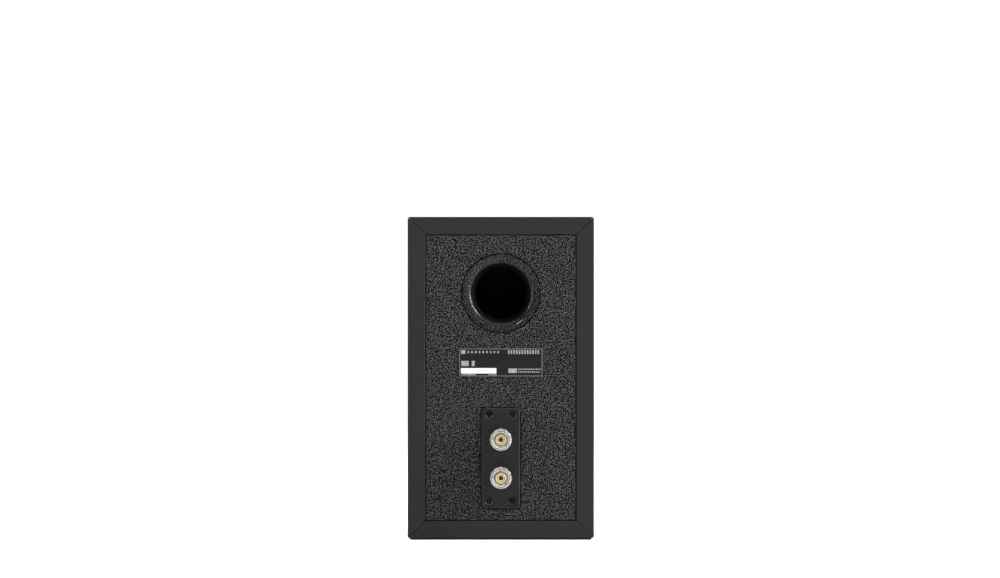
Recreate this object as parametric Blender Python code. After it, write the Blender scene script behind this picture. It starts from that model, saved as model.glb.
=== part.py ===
"""A two-way bookshelf loudspeaker with a rear reflex port and one pair of binding posts.

Metres, +Z up. The drivers face -Y and the terminals face +Y. The origin is the middle of the
bounding box in X and Y, at the underside of the base pad.

Pieces are drawn in the frame of the face that they belong to: x to the viewer's right, y up and
z out of the face towards the viewer. Round pieces are turned from outlines of (radius, z) points.
"""

import math

import bmesh
import bpy

MM = 0.001
GAP = 0.3 * MM  # what neighbouring pieces keep between them
SAME_POINT = 0.001 * MM

# Sides of the round pieces of each assembly. Pieces that nest share a count, so their flats line up.
DRIVER_SIDES = 32
TWEETER_SIDES = 28
PORT_SIDES = 32
POST_SIDES = 16
COIL_SIDES = 24
SCREW_SIDES = 10
WIRE_HOLE_SIDES = 8

# Cabinet
WIDTH = 180 * MM
HEIGHT = 312 * MM  # with the base pad
DEPTH = 250 * MM  # from the baffle's face to the rear edge of the walls
WALL = 17 * MM
BASE_PAD_T = 1.5 * MM
BASE_PAD_INSET = 2.5 * MM
BASE_PAD_CORNER = 2 * MM
BAFFLE_T = 18 * MM
BAFFLE_EDGE = 4 * MM
REAR_PANEL_T = 15 * MM
REAR_PANEL_RECESS = 0.5 * MM
REAR_PANEL_CHAMFER = 1 * MM
WADDING_T = 10 * MM

# Reflex port
PORT_Z = 238.3 * MM
PORT_BORE_R = 25 * MM
PORT_FLARE_R = 12 * MM
PORT_LAND = 1.3 * MM  # the flat ring outside the flare
PORT_RIM_T = 3 * MM
PORT_RIM_CHAMFER = 0.4 * MM
PORT_WALL = 2.4 * MM
PORT_COLLAR_END = 34 * MM
PORT_SOCKET = 18 * MM
PORT_LENGTH = 121 * MM
PORT_INNER_FLARE_R = 8 * MM
PORT_LIP_T = 1.5 * MM

# Rating label
LABEL_Z = 171.4 * MM
LABEL_W = 81.2 * MM
LABEL_H = 27.8 * MM
LABEL_T = 0.3 * MM
LABEL_CORNER = 1.2 * MM

# Terminal plate and its screws
TERMINAL_Z = 78.9 * MM
PLATE_W = 38.2 * MM
PLATE_H = 98.4 * MM
PLATE_CORNER = 5 * MM
PLATE_PROUD = 1.6 * MM
PLATE_SUNK = 1.2 * MM
PLATE_CHAMFER = 1 * MM
PLATE_SCREWS_X = 22.4 * MM
PLATE_SCREWS_Z = 83.4 * MM
PLATE_WINDOW_W = 24 * MM
PLATE_WINDOW_H = 62 * MM
PLATE_WINDOW_CORNER = 4 * MM

# Binding posts
POST_SPACING = 36.8 * MM
POST_PROUD = 28 * MM  # the knob's end, beyond the cabinet's rear edge
STUD_R = 3.6 * MM
STUD_TAIL = 16 * MM
STUD_CHAMFER = 0.6 * MM
STUD_SUNK = 1.5 * MM  # the stud's tip, behind the knob's end
SOCKET_R = 2 * MM
SOCKET_DEPTH = 17 * MM
WIRE_HOLE_R = 1.5 * MM
COLLAR_R = 9.5 * MM
COLLAR_T = 3 * MM
CLAMP_R = 8.8 * MM
CLAMP_T = 1.5 * MM
INSERT_R = 6.2 * MM
INSERT_SUNK = 0.9 * MM
KNOB_R = 10.7 * MM
KNOB_FLUTE = 0.5 * MM
KNOB_FLUTES = 12
KNOB_CHAMFER = 1 * MM
NUT_ACROSS_CORNERS_R = 6.4 * MM
NUT_T = 4 * MM

# Woofer, from the baffle's face
WOOFER_Z = 103 * MM
WOOFER_R = 73 * MM
WOOFER_FLANGE_T = 4.5 * MM
WOOFER_LAND = 8.7 * MM  # the ring of the flange that takes the screws
WOOFER_SCREWS = 4
FLANGE_SUNK = 0.2 * MM
FLANGE_CHAMFER = 0.3 * MM
TRIM_SEAT_DEPTH = 2.9 * MM
TRIM_T = 1.7 * MM
TRIM_CHAMFER = 0.6 * MM
BASKET_SHELL_T = 2.8 * MM
SPIDER_LEDGE_DEPTH = 30 * MM
SPIDER_LEDGE_W = 4.5 * MM
BASKET_SEAT_DEPTH = 39.5 * MM
BASKET_SEAT_T = 2.5 * MM
BASKET_SEAT_R = 40 * MM
BASKET_WINDOWS = 5
BASKET_WINDOW_ANGLE = 50
BASKET_WINDOW_EDGE = 1.5 * MM
SURROUND_T = 0.6 * MM
SURROUND_ROLL_R = 4 * MM
SURROUND_LIP = 6.8 * MM
SURROUND_TO_CONE = 0.7 * MM
CONE_RIM = 3 * MM
CONE_T = 0.8 * MM
CONE_NECK_DEPTH = 25 * MM
CONE_STEPS = 4
CAP_R = 17.5 * MM
CAP_RISE = 5.5 * MM
CAP_T = 0.7 * MM
CAP_STEPS = 5
COIL_R = 12.45 * MM  # inside the former
COIL_T = 0.85 * MM
COIL_TOP_DEPTH = 24 * MM
COIL_END_DEPTH = 50 * MM
COIL_CLEARANCE = 0.6 * MM
SPIDER_T = 0.7 * MM
SPIDER_WAVE = 1 * MM
SPIDER_HALF_WAVES = 6
POLE_CLEARANCE = 0.45 * MM
POLE_VENT_R = 4.5 * MM
TOP_PLATE_R = 42 * MM
TOP_PLATE_T = 5 * MM
MAGNET_R = 45 * MM
MAGNET_WINDOW = 10 * MM  # between the coil and the magnet's bore
MAGNET_T = 15 * MM
BACK_PLATE_T = 5 * MM
TAG_STRIP_W = 14 * MM
TAG_STRIP_T = 1.6 * MM
TAG_STRIP_L = 4 * MM
TAG_W = 3 * MM
TAG_L = 2 * MM

# What follows from the woofer's sizes, from the rim inwards
TRIM_SEAT_R = WOOFER_R - WOOFER_LAND
WOOFER_SCREWS_R = WOOFER_R - WOOFER_LAND / 2
SURROUND_LIP_R = TRIM_SEAT_R - GAP
BASKET_MOUTH_R = SURROUND_LIP_R - SURROUND_LIP
BASKET_SHELL_R = BASKET_MOUTH_R + BASKET_SHELL_T
SURROUND_ROLL_CENTRE_R = BASKET_MOUTH_R - SURROUND_ROLL_R
CONE_RIM_R = SURROUND_ROLL_CENTRE_R - SURROUND_ROLL_R - SURROUND_TO_CONE
CONE_RIM_INNER_R = CONE_RIM_R - CONE_RIM
COIL_OUTER_R = COIL_R + COIL_T
CONE_NECK_R = COIL_OUTER_R + GAP + 0.1 * MM
POLE_R = COIL_R - POLE_CLEARANCE
MAGNET_BORE_R = COIL_OUTER_R + MAGNET_WINDOW
BASKET_EYE_R = COIL_OUTER_R + MAGNET_WINDOW - 2 * MM
SPIDER_LEDGE_R = BASKET_SEAT_R - 2 * MM
SPIDER_LEDGE_INNER_R = SPIDER_LEDGE_R - SPIDER_LEDGE_W
SPIDER_EDGE_R = SPIDER_LEDGE_R - 0.8 * MM

# Tweeter, from the baffle's face
TWEETER_Z = 240 * MM
TWEETER_R = 48 * MM
TWEETER_FLANGE_T = 3.5 * MM
TWEETER_LAND = 12 * MM  # the ring of the flange that takes the screws
TWEETER_SCREWS = 3
TWEETER_THROAT_DEPTH = 4.2 * MM
TWEETER_DISH_STEPS = 3
TWEETER_BOSS_DEPTH = 5 * MM
DOME_R = 12.7 * MM
DOME_RISE = 4.6 * MM
DOME_T = 0.4 * MM
DOME_STEPS = 4
DOME_BASE_DEPTH = 5.6 * MM
TWEETER_ROLL_R = 1.5 * MM
TWEETER_LIP_T = 0.4 * MM
TWEETER_LIP = 3 * MM
TWEETER_COIL_T = 0.5 * MM
TWEETER_COIL_END_DEPTH = 12.5 * MM
TWEETER_TOP_DEPTH = 6 * MM
TWEETER_TOP_T = 3 * MM
TWEETER_TOP_R = 35 * MM
TWEETER_MAGNET_R = 36 * MM
TWEETER_MAGNET_WINDOW = 4.4 * MM  # between the coil and the magnet's bore
TWEETER_MAGNET_T = 9 * MM
TWEETER_YOKE_R = 34 * MM
TWEETER_YOKE_T = 4 * MM

# What follows from the tweeter's sizes
TWEETER_SCREWS_R = TWEETER_R - TWEETER_LAND / 2
TWEETER_DISH_R = TWEETER_R - TWEETER_LAND - 2 * MM
TWEETER_BOSS_R = TWEETER_MAGNET_R - 1.5 * MM
TWEETER_COIL_OUTER_R = DOME_R - 0.1 * MM
TWEETER_POLE_R = TWEETER_COIL_OUTER_R - TWEETER_COIL_T - COIL_CLEARANCE
TWEETER_MAGNET_BORE_R = TWEETER_COIL_OUTER_R + TWEETER_MAGNET_WINDOW
TWEETER_ROLL_CENTRE_R = DOME_R + GAP + TWEETER_ROLL_R + TWEETER_LIP_T / 2
TWEETER_THROAT_R = TWEETER_ROLL_CENTRE_R + TWEETER_ROLL_R + 1.1 * MM
TWEETER_LIP_R = TWEETER_THROAT_R + TWEETER_LIP - 0.8 * MM

# Crossover, on the bottom panel
BOARD_W = 100 * MM
BOARD_L = 110 * MM
BOARD_T = 1.6 * MM
BOARD_FROM_FRONT = 140 * MM  # the board's middle, behind the baffle's face
STANDOFF_R = 3.5 * MM
STANDOFF_H = 6 * MM
STANDOFF_INSET = 6 * MM
LEAD_R = 2.2 * MM
LEAD_STEPS = 4

# The whole length, and where its two ends come
SURROUND_PROUD = SURROUND_ROLL_R + SURROUND_T / 2 - (TRIM_SEAT_DEPTH - GAP - SURROUND_T / 2)
LENGTH = SURROUND_PROUD + DEPTH + POST_PROUD
FRONT_Y = SURROUND_PROUD - LENGTH / 2
REAR_Y = FRONT_Y + DEPTH
BOX_H = HEIGHT - BASE_PAD_T
BOX_MIDDLE_Z = BASE_PAD_T + BOX_H / 2

FINISHES = {  # colour, roughness, metallic, alpha
    "vinyl_wrap": ((0.035, 0.035, 0.036), 0.45, 0.0, 1.0),
    "textured_wrap": ((0.030, 0.030, 0.030), 0.75, 0.0, 1.0),
    "baffle_lacquer": ((0.020, 0.020, 0.021), 0.30, 0.0, 1.0),
    "black_plastic": ((0.022, 0.022, 0.023), 0.50, 0.0, 1.0),
    "rubber": ((0.015, 0.015, 0.015), 0.60, 0.0, 1.0),
    "label_film": ((0.020, 0.020, 0.020), 0.35, 0.0, 1.0),
    "clear_plastic": ((0.85, 0.85, 0.82), 0.10, 0.0, 0.4),
    "red_plastic": ((0.45, 0.02, 0.02), 0.35, 0.0, 1.0),
    "gold_plate": ((0.86, 0.65, 0.30), 0.22, 1.0, 1.0),
    "black_steel": ((0.030, 0.030, 0.030), 0.35, 0.8, 1.0),
    "cast_frame": ((0.040, 0.040, 0.042), 0.45, 0.6, 1.0),
    "zinc_steel": ((0.62, 0.62, 0.60), 0.35, 1.0, 1.0),
    "ferrite": ((0.060, 0.060, 0.065), 0.60, 0.1, 1.0),
    "cone_paper": ((0.030, 0.030, 0.033), 0.55, 0.0, 1.0),
    "silk": ((0.020, 0.020, 0.022), 0.65, 0.0, 1.0),
    "spider_cloth": ((0.50, 0.34, 0.12), 0.85, 0.0, 1.0),
    "copper": ((0.72, 0.33, 0.14), 0.35, 1.0, 1.0),
    "circuit_board": ((0.45, 0.33, 0.16), 0.60, 0.0, 1.0),
    "capacitor_film": ((0.50, 0.42, 0.08), 0.40, 0.0, 1.0),
    "wadding": ((0.75, 0.74, 0.70), 0.95, 0.0, 1.0),
    "lead_sheath": ((0.30, 0.02, 0.02), 0.50, 0.0, 1.0),
}


# ---------------------------------------------------------------- making and placing solids


def clear_scene():
    for leftover in list(bpy.data.objects):
        bpy.data.objects.remove(leftover, do_unlink=True)


def material(finish):
    """The Principled material of a finish, made the first time that it is asked for."""
    if finish in bpy.data.materials:
        return bpy.data.materials[finish]
    colour, roughness, metallic, alpha = FINISHES[finish]
    made = bpy.data.materials.new(finish)
    made.use_nodes = True
    shader = made.node_tree.nodes["Principled BSDF"]
    shader.inputs["Base Color"].default_value = (*colour, 1)
    shader.inputs["Roughness"].default_value = roughness
    shader.inputs["Metallic"].default_value = metallic
    shader.inputs["Alpha"].default_value = alpha
    return made


def frame(name, location, rotation=(0, 0, 0), parent=None):
    """An empty that carries the pieces of one face or one assembly."""
    empty = bpy.data.objects.new(name, None)
    bpy.context.scene.collection.objects.link(empty)
    empty.location = location
    empty.rotation_euler = [math.radians(angle) for angle in rotation]
    empty.parent = parent
    return empty


def place(name, shape, finish, parent, at=(0, 0, 0), turn=0):
    """An object from a bmesh, in its parent's frame, turned about z by so many degrees."""
    data = bpy.data.meshes.new(name)
    shape.to_mesh(data)
    shape.free()
    data.shade_smooth()
    data.set_sharp_from_angle(angle=math.radians(35))
    piece = bpy.data.objects.new(name, data)
    bpy.context.scene.collection.objects.link(piece)
    piece.location = at
    piece.rotation_euler = (0, 0, math.radians(turn))
    piece.parent = parent
    if finish:
        data.materials.append(material(finish))
    else:
        piece.hide_render = True
        piece.display_type = "WIRE"
    return piece


def turned(name, outline, finish, parent, at=(0, 0, 0), sides=DRIVER_SIDES, turn=0):
    """An outline of (radius, z) points spun about z. One that starts on the axis also ends there."""
    shape = bmesh.new()
    points = [shape.verts.new((radius, 0, z)) for radius, z in outline]
    pairs = list(zip(points, points[1:]))
    if outline[0][0] > SAME_POINT:
        pairs.append((points[-1], points[0]))
    edges = [shape.edges.new(pair) for pair in pairs]
    bmesh.ops.spin(
        shape,
        geom=points + edges,
        cent=(0, 0, 0),
        axis=(0, 0, 1),
        angle=2 * math.pi,
        steps=sides,
        use_merge=True,
    )
    bmesh.ops.remove_doubles(shape, verts=shape.verts, dist=SAME_POINT)
    bmesh.ops.recalc_face_normals(shape, faces=shape.faces)
    return place(name, shape, finish, parent, at, turn)


def prism(name, outline, low, high, finish, parent, at=(0, 0, 0), turn=0, soften=0, steps=1):
    """An outline of (x, y) points raised from z low to z high, its high rim softened."""
    shape = bmesh.new()
    floor = shape.faces.new([shape.verts.new((x, y, low)) for x, y in outline])
    grown = bmesh.ops.extrude_face_region(shape, geom=[floor])["geom"]
    risen = [part for part in grown if isinstance(part, bmesh.types.BMVert)]
    bmesh.ops.translate(shape, verts=risen, vec=(0, 0, high - low))
    bmesh.ops.recalc_face_normals(shape, faces=shape.faces)
    if soften:
        rim = [
            edge
            for edge in shape.edges
            if all(abs(end.co.z - high) < SAME_POINT for end in edge.verts)
        ]
        bmesh.ops.bevel(
            shape,
            geom=rim,
            offset=soften,
            segments=steps,
            profile=0.5,
            affect="EDGES",
            clamp_overlap=True,
        )
    return place(name, shape, finish, parent, at, turn)


def cut(target, *cutters):
    """Takes the cutters out of the target. A cutter has no finish, so it isn't a piece."""
    for cutter in cutters:
        boolean = target.modifiers.new(cutter.name, "BOOLEAN")
        boolean.operation = "DIFFERENCE"
        boolean.object = cutter


def join(target, *others):
    for other in others:
        boolean = target.modifiers.new(other.name, "BOOLEAN")
        boolean.operation = "UNION"
        boolean.object = other


# ---------------------------------------------------------------- outlines


def arc(centre_r, centre_z, radius, start, end, steps):
    """Points of an arc about a centre, from the start angle to the end angle in degrees."""
    angles = [math.radians(start + (end - start) * i / steps) for i in range(steps + 1)]
    return [(centre_r + radius * math.cos(a), centre_z + radius * math.sin(a)) for a in angles]


def rectangle(width, height):
    return [
        (width / 2, -height / 2),
        (width / 2, height / 2),
        (-width / 2, height / 2),
        (-width / 2, -height / 2),
    ]


def rounded_rectangle(width, height, radius, steps=3):
    points = []
    for side_x, side_y, start in ((1, 1, 0), (-1, 1, 90), (-1, -1, 180), (1, -1, 270)):
        centre_x = side_x * (width / 2 - radius)
        centre_y = side_y * (height / 2 - radius)
        points += arc(centre_x, centre_y, radius, start, start + 90, steps)
    return points


def regular(sides, radius):
    return arc(0, 0, radius, 0, 360 - 360 / sides, sides - 1)


def cross(width, length):
    """A plus sign, for a cross-slot recess."""
    w, l = width / 2, length / 2
    return [
        (w, w), (w, l), (-w, l), (-w, w), (-l, w), (-l, -w),
        (-w, -w), (-w, -l), (w, -l), (w, -w), (l, -w), (l, w),
    ]  # fmt: skip


def sector(inner, outer, angle, steps=4):
    """Part of a ring, centred on the x axis."""
    far = arc(0, 0, outer, -angle / 2, angle / 2, steps)
    near = arc(0, 0, inner, angle / 2, -angle / 2, steps)
    return far + near


def tube(inner, outer, low, high):
    return [(inner, low), (outer, low), (outer, high), (inner, high)]


def rod(radius, low, high):
    return [(0, low), (radius, low), (radius, high), (0, high)]


def cap_shell(radius, rise, thickness, base, steps):
    """A spherical cap of even thickness, from the axis out to its rim and back to the axis."""
    ball = (radius**2 + rise**2) / (2 * rise)
    centre = base + rise - ball
    rim = math.degrees(math.asin(radius / ball))
    outer = arc(0, centre, ball, 90, 90 - rim, steps)
    inner = arc(0, centre, ball - thickness, 90 - rim, 90, steps)
    outer[0] = (0, outer[0][1])
    inner[-1] = (0, inner[-1][1])
    return outer + inner


def on_circle(count, radius, first=0):
    """Each of count places evenly round a circle, as (number, x, y)."""
    places = []
    for number in range(count):
        angle = math.radians(first + 360 * number / count)
        places.append((number + 1, radius * math.cos(angle), radius * math.sin(angle)))
    return places


def screw(name, head_r, head_t, shank_r, under_head, length, recess, finish, parent, at):
    """A pan-head screw whose head sits on z under_head. recess is the outline of its drive."""
    top = under_head + head_t
    tip = under_head - length
    outline = [
        (0, tip),
        (shank_r, tip + 2 * shank_r),
        (shank_r, under_head),
        (head_r, under_head),
        (head_r, top - head_t / 3),
        (head_r - head_t / 3, top),
        (0, top),
    ]
    piece = turned(name, outline, finish, parent, at, SCREW_SIDES)
    drive = prism(name + "_drive", recess, top - head_t * 0.6, top + head_t, None, parent, at)
    cut(piece, drive)
    return piece


def wave(inner, outer, steps):
    """Radii from inner to outer, and how far along each is."""
    return [(inner + (outer - inner) * i / steps, i) for i in range(steps + 1)]


# ---------------------------------------------------------------- cabinet


def make_cabinet(front, rear):
    # Four boards, mitred where they meet, each drawn lying on top of the box and then turned.
    mitre_back = GAP / math.sqrt(2)
    boards = (
        ("top_panel", WIDTH, (0, BASE_PAD_T + BOX_H, 0), 0),
        ("left_panel", BOX_H, (-WIDTH / 2, BOX_MIDDLE_Z, 0), 90),
        ("bottom_panel", WIDTH, (0, BASE_PAD_T, 0), 180),
        ("right_panel", BOX_H, (WIDTH / 2, BOX_MIDDLE_Z, 0), 270),
    )
    for name, length, at, turn in boards:
        half = length / 2 - mitre_back
        outline = [(-half, 0), (-half + WALL, -WALL), (half - WALL, -WALL), (half, 0)]
        prism(name, outline, -DEPTH, -BAFFLE_T - GAP, "vinyl_wrap", front, at, turn)

    pad = rounded_rectangle(WIDTH - 2 * BASE_PAD_INSET, DEPTH - 2 * BASE_PAD_INSET, BASE_PAD_CORNER)
    pad_frame = frame("base", (0, FRONT_Y + DEPTH / 2, 0))
    prism("base_pad", pad, 0, BASE_PAD_T - GAP, "rubber", pad_frame)

    baffle = prism(
        "front_baffle",
        rectangle(WIDTH, BOX_H),
        -BAFFLE_T,
        0,
        "baffle_lacquer",
        front,
        (0, BOX_MIDDLE_Z, 0),
        soften=BAFFLE_EDGE,
        steps=3,
    )
    cut(baffle, *driver_cutters(front))

    inner_w = WIDTH - 2 * WALL - 2 * GAP
    inner_h = BOX_H - 2 * WALL - 2 * GAP
    back = prism(
        "rear_panel",
        rectangle(inner_w, inner_h),
        -REAR_PANEL_RECESS - REAR_PANEL_T,
        -REAR_PANEL_RECESS,
        "textured_wrap",
        rear,
        (0, BOX_MIDDLE_Z, 0),
        soften=REAR_PANEL_CHAMFER,
    )
    cut(back, *rear_cutters(rear))

    make_wadding(front, inner_w, inner_h)


def driver_cutters(front):
    """What the baffle loses for the two drivers: a rebate, a hole and the screws' pilot holes."""
    woofer_at = (0, WOOFER_Z, 0)
    tweeter_at = (0, TWEETER_Z, 0)
    woofer_hole = stepped_hole(
        WOOFER_R + GAP, FLANGE_SUNK + WOOFER_FLANGE_T + GAP, BASKET_SHELL_R + GAP, BAFFLE_T
    )
    tweeter_hole = stepped_hole(
        TWEETER_R + GAP, FLANGE_SUNK + TWEETER_FLANGE_T + GAP, TWEETER_MAGNET_R + GAP, BAFFLE_T
    )
    cutters = [
        turned("woofer_hole", woofer_hole, None, front, woofer_at),
        turned("tweeter_hole", tweeter_hole, None, front, tweeter_at, TWEETER_SIDES),
    ]
    pilot_r, pilot_depth = 2.2 * MM, 16.5 * MM
    pilots = rod(pilot_r, -pilot_depth, 0)
    for number, x, y in on_circle(WOOFER_SCREWS, WOOFER_SCREWS_R, 45):
        at = (x, WOOFER_Z + y, 0)
        cutters.append(turned(f"woofer_pilot_{number}", pilots, None, front, at, SCREW_SIDES))
    for number, x, y in on_circle(TWEETER_SCREWS, TWEETER_SCREWS_R, 90):
        at = (x, TWEETER_Z + y, 0)
        cutters.append(turned(f"tweeter_pilot_{number}", pilots, None, front, at, SCREW_SIDES))
    return cutters


def stepped_hole(wide_r, wide_depth, narrow_r, through):
    """A wide mouth over a narrower hole that goes right through, with room past both faces."""
    past = 5 * MM
    return [
        (0, -through - past),
        (narrow_r, -through - past),
        (narrow_r, -wide_depth),
        (wide_r, -wide_depth),
        (wide_r, past),
        (0, past),
    ]


def rear_cutters(rear):
    """What the rear panel loses: the port's rebate and hole, and the terminal plate's."""
    surface = -REAR_PANEL_RECESS
    past = 5 * MM
    port = stepped_hole(
        port_rim() + GAP, PORT_RIM_T + GAP, port_socket_outer() + GAP, REAR_PANEL_T
    )
    pocket = rounded_rectangle(PLATE_W + 2 * GAP, PLATE_H + 2 * GAP, PLATE_CORNER + GAP)
    window = rounded_rectangle(PLATE_WINDOW_W, PLATE_WINDOW_H, PLATE_WINDOW_CORNER)
    at = (0, TERMINAL_Z, surface)
    cutters = [
        turned("port_hole", port, None, rear, (0, PORT_Z, surface), PORT_SIDES),
        prism("plate_pocket", pocket, -PLATE_SUNK - GAP, past, None, rear, at),
        prism("plate_window", window, -REAR_PANEL_T - past, past, None, rear, at),
    ]
    pilot = rod(1.9 * MM, -13.5 * MM, past)
    for number, x, y in plate_screw_places():
        place_at = (x, TERMINAL_Z + y, surface)
        cutters.append(turned(f"plate_pilot_{number}", pilot, None, rear, place_at, SCREW_SIDES))
    return cutters


def make_wadding(front, inner_w, inner_h):
    """One sheet of wadding that lines both sides and the top."""
    half = inner_w / 2
    low = BASE_PAD_T + WALL + GAP
    high = low + inner_h
    sheet = [
        (-half, low),
        (-half + WADDING_T, low),
        (-half + WADDING_T, high - WADDING_T),
        (half - WADDING_T, high - WADDING_T),
        (half - WADDING_T, low),
        (half, low),
        (half, high),
        (-half, high),
    ]
    near = -BAFFLE_T - GAP
    far = -DEPTH + REAR_PANEL_RECESS + REAR_PANEL_T + GAP
    prism("wadding", sheet, far, near, "wadding", front)


# ---------------------------------------------------------------- reflex port


def port_rim():
    """The outer radius of the port's mouth."""
    return PORT_BORE_R + PORT_FLARE_R + PORT_LAND


def port_socket_outer():
    """The outer radius of the tube's socket, which slips over the mouth's collar."""
    return PORT_BORE_R + 2 * PORT_WALL + GAP


def make_port(axis):
    """The flared mouth, screwed home from outside, and the tube pushed onto it from inside."""
    collar_r = PORT_BORE_R + PORT_WALL
    flare_top_r = PORT_BORE_R + PORT_FLARE_R
    boss_r = port_socket_outer()
    boss_end = PORT_RIM_T + 1.5 * MM
    mouth = [
        (port_rim(), -PORT_RIM_T),
        (port_rim(), -PORT_RIM_CHAMFER),
        (port_rim() - PORT_RIM_CHAMFER, 0),
        *arc(flare_top_r, -PORT_FLARE_R, PORT_FLARE_R, 90, 180, 6),
        (PORT_BORE_R, -PORT_COLLAR_END),
        (collar_r, -PORT_COLLAR_END),
        (collar_r, -PORT_FLARE_R - 1 * MM),
        (boss_r, -boss_end),
        (boss_r, -PORT_RIM_T),
    ]
    turned("port_mouth", mouth, "black_plastic", axis, sides=PORT_SIDES)

    socket_start = PORT_COLLAR_END - PORT_SOCKET
    socket_end = PORT_COLLAR_END + GAP
    flare_start = PORT_LENGTH - PORT_INNER_FLARE_R
    flare_r = PORT_BORE_R + PORT_INNER_FLARE_R
    inner_flare = arc(flare_r, -flare_start, PORT_INNER_FLARE_R, 180, 270, 4)
    duct = [
        (boss_r, -socket_start),
        (collar_r + GAP, -socket_start),
        (collar_r + GAP, -socket_end),
        (PORT_BORE_R, -socket_end),
        *inner_flare,
        (flare_r, -PORT_LENGTH + PORT_LIP_T),
        (collar_r + 1 * MM, -flare_start),
        (collar_r, -flare_start + 4 * MM),
        (collar_r, -socket_end - 3 * MM),
        (boss_r, -socket_end),
    ]
    turned("port_tube", duct, "black_plastic", axis, sides=PORT_SIDES)


# ---------------------------------------------------------------- label and terminals


def plate_screw_places():
    places = []
    for side_y in (1, -1):
        for side_x in (-1, 1):
            places.append((side_x * PLATE_SCREWS_X / 2, side_y * PLATE_SCREWS_Z / 2))
    return [(number + 1, x, y) for number, (x, y) in enumerate(places)]


def make_label(rear):
    outline = rounded_rectangle(LABEL_W, LABEL_H, LABEL_CORNER, 2)
    at = (0, LABEL_Z, -REAR_PANEL_RECESS)
    prism("rating_label", outline, GAP, GAP + LABEL_T, "label_film", rear, at)


def make_terminals(panel):
    """The moulded plate, its four screws and the two binding posts."""
    plate = prism(
        "terminal_plate",
        rounded_rectangle(PLATE_W, PLATE_H, PLATE_CORNER),
        -PLATE_SUNK,
        PLATE_PROUD,
        "black_plastic",
        panel,
        soften=PLATE_CHAMFER,
    )
    head_r, head_t, shank_r = 3.6 * MM, 1.3 * MM, 1.6 * MM
    seat = PLATE_PROUD - head_t - GAP
    past = 3 * MM
    counterbore = [
        (0, -PLATE_SUNK - past),
        (shank_r + GAP, -PLATE_SUNK - past),
        (shank_r + GAP, seat - GAP),
        (head_r + 0.6 * MM, seat - GAP),
        (head_r + 0.6 * MM, PLATE_PROUD + past),
        (0, PLATE_PROUD + past),
    ]
    drive = cross(0.9 * MM, 3.6 * MM)
    for number, x, y in plate_screw_places():
        hole = turned(f"plate_screw_hole_{number}", counterbore, None, panel, (x, y, 0), SCREW_SIDES)
        cut(plate, hole)
        name = f"terminal_screw_{number}"
        screw(name, head_r, head_t, shank_r, seat, 12 * MM, drive, "black_steel", panel, (x, y, 0))

    polarities = (("positive", 1, "red_plastic"), ("negative", -1, "black_plastic"))
    for polarity, side, collar_finish in polarities:
        at = (0, side * POST_SPACING / 2, 0)
        hole = turned(
            f"{polarity}_post_hole",
            rod(STUD_R + GAP, -PLATE_SUNK - past, PLATE_PROUD + past),
            None,
            panel,
            at,
            POST_SIDES,
        )
        cut(plate, hole)
        make_post(polarity, collar_finish, frame(f"{polarity}_post_axis", at, parent=panel))


def make_post(polarity, collar_finish, axis):
    """One binding post: from the plate outwards a collar, a clamping washer and the knob."""
    collar_low = PLATE_PROUD + GAP
    collar_high = collar_low + COLLAR_T
    clamp_low = collar_high + GAP
    clamp_high = clamp_low + CLAMP_T
    knob_low = clamp_high + GAP
    knob_high = POST_PROUD + REAR_PANEL_RECESS
    stud_high = knob_high - STUD_SUNK
    bore_r = STUD_R + GAP

    tip = STUD_R - STUD_CHAMFER
    socket_mouth = SOCKET_R + STUD_CHAMFER
    stud = turned(
        f"{polarity}_stud",
        [
            (0, -STUD_TAIL),
            (STUD_R, -STUD_TAIL),
            (STUD_R, stud_high - STUD_CHAMFER),
            (tip, stud_high),
            (socket_mouth, stud_high),
            (SOCKET_R, stud_high - STUD_CHAMFER),
            (SOCKET_R, stud_high - SOCKET_DEPTH),
            (0, stud_high - SOCKET_DEPTH),
        ],
        "gold_plate",
        axis,
        sides=POST_SIDES,
    )
    wire_frame = frame(f"{polarity}_wire_hole_axis", (0, 0, collar_high + WIRE_HOLE_R), (0, 90, 0), axis)
    wire_hole = turned(
        f"{polarity}_wire_hole",
        rod(WIRE_HOLE_R, -2 * STUD_R, 2 * STUD_R),
        None,
        wire_frame,
        sides=WIRE_HOLE_SIDES,
    )
    cut(stud, wire_hole)

    turned(
        f"{polarity}_collar",
        tube(bore_r, COLLAR_R, collar_low, collar_high),
        collar_finish,
        axis,
        sides=POST_SIDES,
    )
    turned(
        f"{polarity}_clamp_washer",
        tube(bore_r, CLAMP_R, clamp_low, clamp_high),
        "gold_plate",
        axis,
        sides=POST_SIDES,
    )
    turned(
        f"{polarity}_knob_insert",
        tube(bore_r, INSERT_R, knob_low, knob_high - INSERT_SUNK),
        "gold_plate",
        axis,
        sides=POST_SIDES,
    )
    fluted = [
        (radius * math.cos(angle), radius * math.sin(angle))
        for radius, angle in (
            (KNOB_R - KNOB_FLUTE * (i % 2), math.pi * i / KNOB_FLUTES)
            for i in range(2 * KNOB_FLUTES)
        )
    ]
    knob = prism(
        f"{polarity}_knob",
        fluted,
        knob_low,
        knob_high,
        "clear_plastic",
        axis,
        soften=KNOB_CHAMFER,
    )
    bore = rod(INSERT_R + GAP, knob_low - KNOB_R, knob_high + KNOB_R)
    cut(knob, turned(f"{polarity}_knob_bore", bore, None, axis, sides=POST_SIDES))

    nut_high = -PLATE_SUNK - GAP
    nut = prism(
        f"{polarity}_nut",
        regular(6, NUT_ACROSS_CORNERS_R),
        nut_high - NUT_T,
        nut_high,
        "gold_plate",
        axis,
    )
    thread = rod(bore_r, nut_high - 2 * NUT_T, nut_high + NUT_T)
    cut(nut, turned(f"{polarity}_nut_thread", thread, None, axis, sides=POST_SIDES))


# ---------------------------------------------------------------- woofer


def make_woofer(axis):
    make_basket(axis)
    make_woofer_motor(axis)
    make_woofer_diaphragm(axis)


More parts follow.
